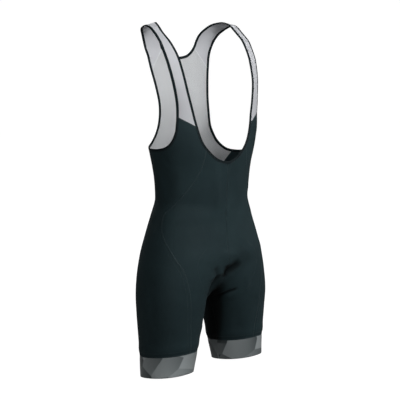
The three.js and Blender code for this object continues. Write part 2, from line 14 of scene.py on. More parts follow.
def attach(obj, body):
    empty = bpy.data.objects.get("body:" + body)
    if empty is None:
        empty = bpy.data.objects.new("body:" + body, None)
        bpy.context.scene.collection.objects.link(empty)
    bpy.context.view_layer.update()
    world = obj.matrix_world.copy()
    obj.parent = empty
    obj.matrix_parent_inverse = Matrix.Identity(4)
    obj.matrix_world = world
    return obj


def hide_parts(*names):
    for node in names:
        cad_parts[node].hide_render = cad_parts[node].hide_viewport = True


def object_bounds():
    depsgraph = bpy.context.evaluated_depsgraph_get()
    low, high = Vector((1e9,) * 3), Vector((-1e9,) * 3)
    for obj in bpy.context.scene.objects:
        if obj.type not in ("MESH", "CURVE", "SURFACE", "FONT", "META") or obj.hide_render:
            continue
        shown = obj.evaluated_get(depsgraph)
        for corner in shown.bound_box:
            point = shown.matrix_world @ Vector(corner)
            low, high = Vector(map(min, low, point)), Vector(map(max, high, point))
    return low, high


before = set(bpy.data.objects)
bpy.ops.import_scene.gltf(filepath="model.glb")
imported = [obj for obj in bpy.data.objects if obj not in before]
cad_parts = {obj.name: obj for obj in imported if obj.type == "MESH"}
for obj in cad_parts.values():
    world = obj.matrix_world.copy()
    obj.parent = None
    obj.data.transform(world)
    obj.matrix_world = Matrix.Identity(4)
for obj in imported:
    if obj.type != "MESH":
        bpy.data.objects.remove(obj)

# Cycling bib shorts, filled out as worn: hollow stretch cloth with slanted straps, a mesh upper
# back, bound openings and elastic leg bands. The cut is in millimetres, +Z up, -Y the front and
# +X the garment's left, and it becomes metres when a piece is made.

MM = 0.001
CAD_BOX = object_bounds()

Points = np.ndarray
Values = np.ndarray
Colour = tuple[float, float, float]
Socket = bpy.types.NodeSocket
Piece = bpy.types.Object

log = logging.getLogger("bib_shorts")


class Side(Enum):
    """The garment's two sides, with the sign of X on each."""

    RIGHT = -1
    LEFT = 1

    @property
    def word(self) -> str:
        """The side's name as node names use it."""
        return self.name.lower()


class Table:
    """Rows of named columns, read smoothly at any value of the first column."""

    def __init__(self, names: str, rows: Sequence[Sequence[float]]) -> None:
        """Sort the rows and set slopes that keep each curve free of overshoot.

        Args:
            names: Column names, the key column first.
            rows: One row of numbers for each section.
        """
        self.names = names.split()[1:]
        data = np.array(sorted(rows), dtype=float)
        self.keys, self.columns = data[:, 0], data[:, 1:]
        step = np.diff(self.keys)[:, None]
        rise = np.diff(self.columns, axis=0) / step
        before, after = rise[:-1], rise[1:]
        mean = (before * step[1:] + after * step[:-1]) / (step[1:] + step[:-1])
        most = 3 * np.minimum(np.abs(before), np.abs(after))
        inner = np.where(before * after <= 0, 0, np.clip(mean, -most, most))
        self.slopes = np.vstack([rise[:1], inner, rise[-1:]])

    def read(self, value: Values) -> dict[str, Values]:
        """Read every column.

        Args:
            value: Values of the key column, held inside the table's range.

        Returns:
            Each column's name and its values.
        """
        x = np.clip(value, self.keys[0], self.keys[-1])
        i = np.clip(np.searchsorted(self.keys, x) - 1, 0, len(self.keys) - 2)
        width = (self.keys[i + 1] - self.keys[i])[..., None]
        t = (x - self.keys[i])[..., None] / width
        low, high = self.columns[i], self.columns[i + 1]
        read = (
            low + (high - low) * t * t * (3 - 2 * t)
            + t * (1 - t) ** 2 * width * self.slopes[i]
            + t * t * (t - 1) * width * self.slopes[i + 1]
        )
        return {name: read[..., k] for k, name in enumerate(self.names)}

    def column(self, name: str) -> Callable[[Values], Values]:
        """A function that reads one column."""
        return lambda value: self.read(np.asarray(value, float))[name]


def unit(v: Points) -> Points:
    """Vectors scaled to length 1."""
    return v / np.maximum(np.linalg.norm(v, axis=-1, keepdims=True), 1e-12)


def xyz(x: Values, y: Values, z: Values) -> Points:
    """Points from their coordinates."""
    return np.stack(np.broadcast_arrays(x, y, z), axis=-1)


def lengths(points: Points, axis: int = 0) -> Values:
    """How far each point lies along its line of points."""
    start = np.take(points, [0], axis=axis)
    return np.cumsum(np.linalg.norm(np.diff(points, axis=axis, prepend=start), axis=-1), axis=axis)


def rounded(part: Values, square: Values) -> Values:
    """The height of a rounded square's edge, at a part of its half width."""
    return (1 - part ** square) ** (1 / square)


def smooth(x: Values) -> Values:
    """A soft step from 0 at 0 to 1 at 1."""
    t = np.clip(x, 0, 1)
    return t * t * (3 - 2 * t)


def halve(low: Values, high: Values, beyond: Callable[[Values], Values], steps: int = 40) -> Values:
    """Find where a test turns true between two values.

    Args:
        low: Values where the test is false.
        high: Values where it is true.
        beyond: The test, for an array of values.
        steps: How often the range is halved.

    Returns:
        The turning values.
    """
    low, high = np.array(low, float), np.array(high, float)
    for _ in range(steps):
        middle = (low + high) / 2
        over = beyond(middle)
        high = np.where(over, middle, high)
        low = np.where(over, low, middle)
    return (low + high) / 2


@dataclass
class Form:
    """The outer face of the filled garment: level sections, and a fan over the shoulders."""

    body_y: float = -45.0
    shoulder_z: float = -100.0
    shoulder_y: float = -15.0
    ridge_width: float = 16.0
    farthest: float = 240.0
    back_turn: float = 110.0
    crotch_low: float = -760.0
    crotch_high: float = -640.0
    slope_step: float = 0.2
    body: Table = field(default_factory=lambda: Table(
        "height middle front back axis half blend square square_back ridge", [
            [-930, 0, 67, 64, 124, 59, 0, 2.25, 2.25, 0],
            [-900, 0, 72, 70, 122, 61, 0, 2.25, 2.25, 0],
            [-840, 0, 79, 82, 115, 65, 0, 2.25, 2.25, 0],
            [-790, 0, 85, 90, 111, 70, 0, 2.25, 2.25, 0],
            [-740, 0, 92, 98, 104, 79, 26, 2.25, 2.25, 0],
            [-690, 0, 99, 107, 92, 91, 30, 2.25, 2.25, 0],
            [-640, 0, 104, 114, 74, 104, 34, 2.25, 2.25, 0],
            [-590, 0, 105, 116, 54, 115, 26, 2.25, 2.25, 0],
            [-540, 0, 98, 110, 34, 123, 12, 2.25, 2.25, 0],
            [-490, 0, 92, 104, 15, 127, 3, 2.25, 2.25, 1],
            [-440, 0, 92, 97, 0, 129, 0, 2.25, 2.25, 2],
            [-385, 0, 94, 94, 0, 133, 0, 2.25, 2.35, 3],
            [-330, 0, 99, 92, 0, 144, 0, 2.35, 2.5, 3],
            [-285, 4, 100, 76, 0, 154, 0, 2.6, 2.9, 1],
            [-240, 10, 100, 64, 0, 156, 0, 3, 3.1, 0],
            [-200, 16, 103, 60, 0, 164, 0, 3, 3.2, 0],
            [-160, 22, 104, 61, 0, 172, 0, 3, 3.2, 0],
            [-120, 28, 99, 63, 0, 180, 0, 3, 3.2, 0],
            [-100, 30, 93, 64, 0, 183, 0, 3, 3.2, 0],
        ]))
    shoulder: Table = field(default_factory=lambda: Table("turn reach half square", [
        [0, 93, 183, 3],
        [16, 85, 185, 3],
        [33, 80, 193, 3],
        [57, 78, 225, 3],
        [78, 85, 250, 3],
        [93, 101, 225, 3],
        [103, 107, 215, 3],
        [113, 106, 205, 3],
        [123, 99, 195, 3.1],
        [141, 84, 186, 3.2],
        [152, 76, 184, 3.2],
        [165, 68, 183, 3.2],
        [180, 64, 183, 3.2],
    ]))

    def outside(self, p: Points) -> Values:
        """How far points lie outside the face, about in millimetres."""
        result = np.empty(len(p))
        over = p[:, 2] >= self.shoulder_z
        result[over] = self._outside_shoulder(p[over])
        result[~over] = self._outside_body(p[~over])
        return result

    def _outside_shoulder(self, p: Points) -> Values:
        """The distance above the shoulder line."""
        up, ahead = p[:, 2] - self.shoulder_z, self.shoulder_y - p[:, 1]
        row = self.shoulder.read(np.degrees(np.arctan2(up, ahead)))
        round_off = (
            (np.abs(p[:, 0]) / row["half"]) ** row["square"]
            + (np.hypot(up, ahead) / row["reach"]) ** row["square"]
        ) ** (1 / row["square"])
        return (round_off - 1) * row["reach"]

    def _outside_body(self, p: Points) -> Values:
        """The distance below the shoulder line."""
        row = self.body.read(p[:, 2])
        behind = p[:, 1] - self.body_y - row["middle"]
        crease = row["ridge"] * np.exp(-((p[:, 0] / self.ridge_width) ** 2))
        front = behind < 0
        reach = np.where(front, row["front"] + crease, row["back"])
        square = np.where(front, row["square"], row["square_back"])
        depth = (np.abs(behind) / reach) ** square
        lobes = [
            (((np.abs(p[:, 0] - s * row["axis"]) / row["half"]) ** square + depth)
             ** (1 / square) - 1) * row["half"]
            for s in (1, -1)
        ]
        blend = np.maximum(row["blend"], 1e-6)
        near = np.maximum(blend - np.abs(lobes[0] - lobes[1]), 0) / blend
        return np.minimum(*lobes) - near * near * blend / 4

    def slope(self, p: Points) -> Points:
        """Slope of that distance at each point."""
        steps = np.eye(3) * self.slope_step
        ahead = self.outside((p[:, None] + steps).reshape(-1, 3)).reshape(-1, 3)
        behind = self.outside((p[:, None] - steps).reshape(-1, 3)).reshape(-1, 3)
        return (ahead - behind) / (2 * self.slope_step)

    def normal(self, p: Points) -> Points:
        """Outward normals, for points in any arrangement."""
        return unit(self.slope(p.reshape(-1, 3))).reshape(p.shape)

    def snap(self, p: Points, steps: int = 5) -> Points:
        """Points moved onto the face, in any arrangement."""
        moved = p.reshape(-1, 3).copy()
        for _ in range(steps):
            slope = self.slope(moved)
            square = np.maximum((slope ** 2).sum(axis=1), 1e-9)
            moved -= slope * (self.outside(moved) / square)[:, None]
        return moved.reshape(p.shape)

    def ring(self, level: Values, angle: Values, tilt: Values = 0.0) -> Points:
        """Points of the left side's level sections.

        Args:
            level: Heights of the sections.
            angle: Angles about the leg's axis, 0 at the front and 90 at the outer side.
            tilt: How much the section rises towards the back for each millimetre.

        Returns:
            The points, in the arrangement of the arguments.
        """
        level, angle, tilt = np.broadcast_arrays(level, angle, tilt)
        shape = level.shape
        level, turn, tilt = level.ravel().astype(float), np.radians(angle).ravel(), tilt.ravel()
        row = self.body.read(level)
        sin, cos = np.sin(turn), np.cos(turn)

        def at(reach: Values) -> Points:
            """Points at a reach from the axis."""
            ahead = reach * cos
            y = self.body_y + row["middle"] - ahead
            return xyz(row["axis"] + reach * sin, y, level - tilt * ahead)

        inwards = (turn < 0) | (turn > math.pi)
        centre = np.where(inwards, row["axis"] / np.maximum(-sin, 1e-9), np.inf)
        stop = np.minimum(centre, self.farthest)
        reach = halve(np.zeros(len(level)), stop, lambda value: self.outside(at(value)) > 0)
        at_centre = (centre < self.farthest) & (self.outside(at(stop)) <= 0)
        points = at(np.where(at_centre, stop, reach))
        points[at_centre, 0] = 0
        return points.reshape(*shape, 3)

    def angle_of(self, p: Points) -> Values:
        """Angles of points about the left leg's axis."""
        row = self.body.read(p[..., 2])
        return np.degrees(np.arctan2(p[..., 0] - row["axis"], self.body_y + row["middle"] - p[..., 1]))

    def shoulder_point(self, turn: Values, half: Values) -> Points:
        """Points over the shoulder at a turn and a distance from the centre plane."""
        turn, half = np.broadcast_arrays(np.asarray(turn, float), half)
        row = self.shoulder.read(turn)
        reach = row["reach"] * rounded(half / row["half"], row["square"])
        y = self.shoulder_y - reach * np.cos(np.radians(turn))
        return xyz(half, y, self.shoulder_z + reach * np.sin(np.radians(turn)))

    def chest_point(self, height: Values, half: Values) -> Points:
        """Points of the chest at a height and a distance from the centre plane."""
        row = self.body.read(np.asarray(height, float))
        reach = row["front"] + row["ridge"] * np.exp(-((half / self.ridge_width) ** 2))
        ahead = reach * rounded(half / row["half"], row["square"])
        return xyz(half, self.body_y + row["middle"] - ahead, height)

    def back_point(self, height: Values, half: Values) -> Points:
        """Points of the back at a height and a distance from the centre plane."""
        row = self.body.read(height)
        part = np.clip(half / row["half"], 0, 1)
        reach = row["back"] * rounded(part, row["square_back"])
        low = xyz(half, self.body_y + row["middle"] + reach, height)
        turn = halve(
            np.full_like(height, self.back_turn), np.full_like(height, 180.0),
            lambda value: self.shoulder_point(value, half)[..., 2] < height,
        )
        return np.where((height > self.shoulder_z)[..., None], self.shoulder_point(turn, half), low)

    @cached_property
    def crotch(self) -> float:
        """The height at which the two legs part."""
        found = halve(
            np.array([self.crotch_high]), np.array([self.crotch_low]),
            lambda z: self.outside(xyz(0.0, self.body_y, z)) > 0,
        )
        return float(found[0])

    def centre_angle(self, level: Values, side: int) -> Values:
        """Angles at which levels meet the centre plane, or the inseam below the crotch.

        Args:
            level: Heights of the sections.
            side: -1 at the front, 1 at the back.

        Returns:
            The angles, in degrees.
        """
        level = np.asarray(level, float)
        flat = level.ravel()
        row = self.body.read(flat)
        y = self.body_y + row["middle"]

        def at(ahead: Values) -> Values:
            """How far outside points of the centre plane are."""
            return self.outside(xyz(0.0, y + side * ahead, flat))

        reach = halve(0 * flat, 0 * flat + self.farthest, lambda value: at(value) > 0)
        turn = np.degrees(np.arctan2(row["axis"], reach))
        parted = at(0 * flat) >= 0
        front = np.where(parted, -90, -turn)
        back = np.where(parted, 270, 180 + turn)
        return (front if side < 0 else back).reshape(level.shape)


class Edge:
    """The closed edge line of an opening, with the cloth's boundary beside it."""

    def __init__(self, form: Form, points: Points, cloth_side: int, width: float) -> None:
        """Keep the line.

        Args:
            form: The face that the line lies on.
            points: Points of the closed line.
            cloth_side: 1 or -1, the side of the line on which the cloth lies.
            width: How far from the line the cloth ends, under its binding.
        """
        self.form, self.points, self.cloth_side, self.width = form, points, cloth_side, width

    def curve(self, t: Values) -> Points:
        """Points of the smooth closed curve through the line's points, t from 0 to 1."""
        count = len(self.points)
        place = np.mod(np.asarray(t, float), 1) * count
        i = np.floor(place).astype(int)
        w = (place - i)[:, None]
        a, b, c, d = (self.points[(i + k) % count] for k in (-1, 0, 1, 2))
        gaps = [np.sqrt(np.linalg.norm(q - p, axis=1))[:, None] for p, q in ((a, b), (b, c), (c, d))]
        before, own, after = gaps
        start = ((b - a) / before - (c - a) / (before + own) + (c - b) / own) * own
        end = ((c - b) / own - (d - b) / (own + after) + (d - c) / after) * own
        return (
            b + start * w + (3 * (c - b) - 2 * start - end) * w ** 2
            + (2 * (b - c) + start + end) * w ** 3
        )

    def frame(self, t: Values, step: float = 0.001) -> tuple[Points, Points]:
        """Points of the line on the face, and the directions across it to the cloth."""
        t = np.asarray(t, float)
        point, ahead, behind = np.split(
            self.form.snap(self.curve(np.concatenate([t, t + step, t - step]))), 3)
        across = np.cross(self.form.normal(point), unit(ahead - behind)) * self.cloth_side
        return point, unit(across)

    def cloth(self, t: Values) -> Points:
        """Points where the cloth ends."""
        point, across = self.frame(t)
        return self.form.snap(point + across * self.width)

    def run(self, start: float, stop: float, count: int, dense: int = 240) -> Points:
        """Even steps of the cloth's boundary between two stations."""
        t = np.linspace(start, stop, dense + 1)
        length = lengths(self.cloth(t))
        return self.cloth(np.interp(np.linspace(0, length[-1], count + 1), length, t))

    def find(self, start: float, stop: float, test: Callable[[Points], Values],
             rounds: int = 3, stations: int = 41) -> float:
        """The station between two others where a test of the cloth's boundary changes sign."""
        for _ in range(rounds):
            t = np.linspace(start, stop, stations)
            sign = test(self.cloth(t)) > 0
            k = int(np.flatnonzero(sign[1:] != sign[:-1])[0])
            start, stop = t[k], t[k + 1]
        return (start + stop) / 2


@dataclass
class Cut:
    """Named sizes and lines of the cut that both sides share."""

    binding_width: float = 7.0
    tuck: float = 2.0
    level_top: float = -470.0
    band_top: float = -839.0
    band_height: float = 55.0
    hem_tilt: float = -0.19
    strap_front: tuple[float, float] = (-253.0, -229.0)
    strap_back: tuple[float, float] = (154.0, -120.0)
    rear_seam_top: float = 125.0
    arm_foot: float = -301.0
    arm_drop: dict[Side, float] = field(default_factory=lambda: {Side.RIGHT: 0.0, Side.LEFT: 25.0})
    arm_drop_span: tuple[float, float] = (-290.0, -315.0)
    mesh_corner: dict[Side, float] = field(
        default_factory=lambda: {Side.RIGHT: 110.0, Side.LEFT: 104.0})
    neck_front: Sequence[Sequence[float]] = (
        (-343, 0), (-337, 23), (-328, 39.5), (-315, 54), (-299, 67.5), (-281, 77), (-258, 84.5),
        (-212, 95.5), (-160, 106.5), (-110, 111.5))
    neck_shoulder: Sequence[Sequence[float]] = (
        (15, 113.5), (33, 115.5), (56, 117.5), (78, 117.5), (93, 114), (103, 105), (112, 92),
        (119, 81), (126, 70.5), (133, 62.5), (141, 57), (150, 52), (158, 43), (165, 30),
        (168.5, 16), (169.5, 0))
    arm_front: Sequence[Sequence[float]] = (
        (-240, 135.5), (-215, 135.5), (-190, 137), (-158, 141), (-126, 145))
    arm_shoulder: Sequence[Sequence[float]] = (
        (2, 148), (23, 149), (44, 149), (62, 147.5), (76, 146.5), (89, 147), (100, 149),
        (110, 147), (118, 140.5), (127, 130.5), (138, 121), (151, 113), (167, 105))
    arm_back: Sequence[Sequence[float]] = (
        (-116, 121.4), (-142, 122.4), (-172, 123.4), (-200, 124.2), (-226, 124.7),
        (-250, 125.3), (-269, 125.6), (-287, 124.2), (-301, 120.5))
    arm_bottom: Sequence[Sequence[float]] = (
        (-309, 112), (-311.5, 101), (-309, 87.5), (-301, 76.5), (-288, 70), (-265, 65))
    front_seam: Table = field(default_factory=lambda: Table("height angle", [
        (-930, -8), (-850, -5), (-805, -2), (-750, 6), (-708, 12), (-670, 20.5), (-640, 29),
        (-610, 39), (-580, 54), (-550, 68), (-523, 79), (-500, 84), (-478, 84.5), (-455, 76),
        (-435, 67), (-415, 59.5), (-395, 52), (-367, 44), (-331, 37.5), (-300, 34)]))
    rear_seam: Table = field(default_factory=lambda: Table("height angle", [
        (-930, 166), (-840, 163), (-740, 158), (-640, 148), (-540, 137), (-460, 129),
        (-402, 125), (-300, 122)]))
    mesh_seam: Sequence[Sequence[float]] = (
        (118, -385), (125, -402), (140, -424), (160, -437), (180, -440))


@dataclass
class Grain:
    """How finely the pieces are laid: columns and rows of each."""

    front: int = 46
    strap: int = 22
    armhole: int = 28
    flank: int = 14
    seat: int = 50
    upper: int = 58
    middle: int = 84
    leg: int = 56
    band: int = 24
    foot: int = 30
    strap_rows: int = 180
    mesh: int = 96
    bunching: float = 1.2


class Half:
    """One side of the cut, laid out on the left and mirrored for the right."""

    def __init__(self, form: Form, cut: Cut, grain: Grain, side: Side) -> None:
        """Lay the edges and the tops of the panels.

        Args:
            form: The garment's outer face.
            cut: The shared sizes and lines.
            grain: How finely the pieces are laid.
            side: The side that this half is for.
        """
        self.form, self.cut, self.grain, self.side = form, cut, grain, side
        self.front_angle = cut.front_seam.column("angle")
        self.rear_angle = cut.rear_seam.column("angle")
        width = cut.binding_width - cut.tuck
        self.neck = Edge(form, self._neck_line(), -1, width)
        self.arm = Edge(form, self._arm_line(), 1, width)
        self._find_corners()
        self._lay_tops()

    def _lowered(self, height: Values) -> Values:
        """Heights of the armhole's bottom as it hangs on this side."""
        start, stop = self.cut.arm_drop_span
        part = smooth((np.asarray(height, float) - start) / (stop - start))
        return height - self.cut.arm_drop[self.side] * part

    def _neck_line(self) -> Points:
        """The whole neck edge, from the centre front up the left side and round."""
        front, over = np.array(self.cut.neck_front, float), np.array(self.cut.neck_shoulder, float)
        left = np.vstack([
            self.form.chest_point(front[:, 0], front[:, 1]),
            self.form.shoulder_point(over[:, 0], over[:, 1]),
        ])
        return np.vstack([left, left[-2:0:-1] * [-1, 1, 1]])

    def _arm_line(self) -> Points:
        """The armhole edge: up the front, over the shoulder, down the back and round below."""
        front, over = np.array(self.cut.arm_front, float), np.array(self.cut.arm_shoulder, float)
        low = np.array([*self.cut.arm_back, *self.cut.arm_bottom], float)
        return np.vstack([
            self.form.chest_point(front[:, 0], front[:, 1]),
            self.form.shoulder_point(over[:, 0], over[:, 1]),
            self.form.ring(self._lowered(low[:, 0]), low[:, 1]),
        ])

    def _find_corners(self) -> None:
        """Find the stations on the edges where seams end."""
        cut, form, neck, arm = self.cut, self.form, self.neck, self.arm
        fronts, overs = len(cut.arm_front), len(cut.arm_shoulder)
        rows = fronts + overs + len(cut.arm_back) + len(cut.arm_bottom)
        over_arm, bottom = (fronts + overs / 2) / rows, (rows - len(cut.arm_bottom) + 1) / rows
        quarter = len(cut.neck_front) / len(neck.points)

        def turn_of(p: Points) -> Values:
            """Turns of points over the shoulder."""
            return np.degrees(np.arctan2(p[:, 2] - form.shoulder_z, form.shoulder_y - p[:, 1]))

        self.seam_top = neck.find(0, quarter, lambda p: form.angle_of(p) - self.front_angle(p[:, 2]))
        self.strap_neck = neck.find(self.seam_top, quarter, lambda p: p[:, 2] - cut.strap_front[0])
        self.strap_arm = arm.find(0, over_arm, lambda p: p[:, 2] - cut.strap_front[1])
        self.back_neck = neck.find(quarter, 0.5, lambda p: turn_of(p) - cut.strap_back[0])
        self.back_arm = arm.find(over_arm, bottom, lambda p: p[:, 2] - cut.strap_back[1])
        foot, corner = self._lowered(np.array(cut.arm_foot)), cut.mesh_corner[self.side]
        self.foot = arm.find(bottom, 1 + self.strap_arm, lambda p: p[:, 2] - foot)
        self.corner = arm.find(self.back_arm, self.foot, lambda p: corner - form.angle_of(p))

    def _lay_tops(self) -> None:
        """Lay the top points of each panel's columns."""
        form, grain = self.form, self.grain
        self.front_top = self.neck.run(0, self.seam_top, grain.front)
        self.front_top[0, 0] = 0
        self.arm_bottom = self.arm.run(self.foot, self.corner, grain.armhole)
        first, seam = self.arm_bottom[0], self.front_top[-1]
        low, high = self.front_angle(first[2]), self.rear_angle(first[2])
        share = (form.angle_of(first) - low) / (high - low)
        part = np.linspace(0, 1, grain.strap + 1)
        height = seam[2] + (first[2] - seam[2]) * part
        low, high = self.front_angle(height), self.rear_angle(height)
        self.foot_line = form.ring(height, low + (high - low) * share * part)
        self.foot_line[0], self.foot_line[-1] = seam, first
        corner = self.arm_bottom[-1]
        start = float(form.angle_of(corner))
        lower = Table("angle height", [(start, corner[2]), *self.cut.mesh_seam]).column("height")
        rear = self.cut.rear_seam_top
        flank, seat = np.linspace(start, rear, grain.flank + 1), np.linspace(rear, 180, grain.seat + 1)
        self.flank_top = form.ring(lower(flank), flank)
        self.flank_top[0] = corner
        self.seat_top = form.ring(lower(seat), seat)
        self.seat_top[-1, 0] = 0
        self.side_top = np.vstack([self.foot_line, self.arm_bottom[1:], self.flank_top[1:]])

    def _panel(self, top: Points, start: Callable[[Values], Values],
               stop: Callable[[Values], Values], centre: Optional[int] = None) -> Points:
        """Rows of a panel from its top points down to the leg band.

        Args:
            top: The panel's top points.
            start: Angle of the seam at the first column, by height.
            stop: Angle of the seam at the last column, by height.
            centre: The column that lies on the centre plane, or None.

        Returns:
            A grid of points.
        """
        form, grain, cut = self.form, self.grain, self.cut
        low, high = start(top[:, 2]), stop(top[:, 2])
        share = (form.angle_of(top) - low) / (high - low)
        share[0], share[-1] = 0, 1
        upper = np.arange(1, grain.upper + 1)[:, None] / grain.upper
        levels = [top[:, 2] + (cut.level_top - top[:, 2]) * upper]
        part = (1 - np.arange(1, grain.middle + 1) / grain.middle) ** grain.bunching
        middle = form.crotch + (cut.level_top - form.crotch) * part
        leg = (np.arange(1, grain.leg + 1) / grain.leg) ** grain.bunching
        lower = form.crotch + (cut.band_top - form.crotch) * leg
        for rows in (middle, lower):
            levels.append(np.repeat(rows[:, None], len(top), axis=1))
        level = np.vstack(levels)
        tilt = np.zeros_like(level)
        tilt[-grain.leg:] = cut.hem_tilt * leg[:, None]
        low, high = start(level), stop(level)
        points = form.ring(level, low + (high - low) * share, tilt)
        if centre is not None:
            points[level[:, centre] > form.crotch, centre, 0] = 0
        return np.concatenate([top[None], points])

    def _between(self, left: Points, right: Points, columns: int) -> Points:
        """A band of cloth between two lines of points."""
        part = np.linspace(0, 1, columns + 1)[None, :, None]
        grid = self.form.snap(left[:, None] * (1 - part) + right[:, None] * part)
        grid[:, 0], grid[:, -1] = left, right
        return grid

    def placed(self, points: Points) -> Points:
        """Points on this half's own side."""
        return points * [self.side.value, 1, 1]

    @cached_property
    def front_panel(self) -> Points:
        """The front panel's grid."""
        return self.placed(self._panel(
            self.front_top, lambda z: self.form.centre_angle(z, -1), self.front_angle, 0))

    @cached_property
    def side_panel(self) -> Points:
        """The side panel's grid below the armhole."""
        return self.placed(self._panel(self.side_top, self.front_angle, self.rear_angle))

    @cached_property
    def seat_panel(self) -> Points:
        """The seat panel's grid."""
        return self.placed(self._panel(
            self.seat_top, self.rear_angle, lambda z: self.form.centre_angle(z, 1), -1))

    @cached_property
    def strap_foot(self) -> Points:
        """The side panel's grid in front of the armhole, up to the strap."""
        left = self.neck.run(self.seam_top, self.strap_neck, self.grain.foot)
        right = self.arm.run(self.foot, 1 + self.strap_arm, self.grain.foot)
        grid = self._between(left, right, self.grain.strap)
        grid[0] = self.foot_line
        return self.placed(grid[::-1])

    @cached_property
    def strap(self) -> Points:
        """The strap's grid, from the front seam over the shoulder."""
        left = self.neck.run(self.strap_neck, self.back_neck, self.grain.strap_rows)
        right = self.arm.run(self.strap_arm, self.back_arm, self.grain.strap_rows)
        return self.placed(self._between(left, right, self.grain.strap))

    @cached_property
    def mesh_half(self) -> Points:
        """Half of the back mesh, from the centre back to the armhole."""
        bottom = np.vstack([self.seat_top[::-1], self.flank_top[::-1][1:]])
        along = len(bottom) - 1 - self.grain.strap
        neck = self.neck.run(0.5, self.back_neck, along)
        neck[0, 0] = 0
        end = self.arm.cloth(np.array([self.back_arm]))
        top = np.vstack([neck, self._between(neck[-1:], end, self.grain.strap)[0, 1:]])
        right = self.arm.run(self.back_arm, self.corner, self.grain.mesh)
        v = np.linspace(0, 1, self.grain.mesh + 1)[:, None, None]
        u = np.linspace(0, 1, len(top))[None, :, None]
        left = top[0] * (1 - v) + bottom[0] * v
        corners = (
            (1 - u) * (1 - v) * top[0] + u * (1 - v) * top[-1]
            + (1 - u) * v * bottom[0] + u * v * bottom[-1]
        )
        flat = top * (1 - v) + bottom * v + left * (1 - u) + right[:, None] * u - corners
        grid = self.form.back_point(flat[..., 2], flat[..., 0])
        grid[0], grid[-1], grid[:, -1] = top, bottom, right
        return self.placed(grid)

    @cached_property
    def leg_band(self) -> Points:
        """The leg band's grid, closed round the leg."""
        form, cut = self.form, self.cut
        row = form.body.read(np.array(cut.band_top))
        seam = np.vstack([
            self.placed(grid[-1])[:-1] for grid in (self.front_panel, self.side_panel, self.seat_panel)
        ])
        turn = np.arctan2(seam[:, 0] - row["axis"], form.body_y + row["middle"] - seam[:, 1])
        angle = np.append(np.degrees(turn), np.degrees(turn[0]))
        down = np.linspace(0, cut.band_height, self.grain.band + 1)[:, None]
        return self.placed(form.ring(cut.band_top - down, angle, cut.hem_tilt))


@dataclass(frozen=True)
class Fold:
    """One soft trough or ridge of the cloth, between two places given by height and angle.

    Its shade is painted shade: it darkens the cloth's colour along the fold, where shade falls in the
    crease.
    """

    side: Optional[Side]
    start: tuple[float, float]
    end: tuple[float, float]
    bow: float
    width: float
    depth: float
    shade: float = 0.0


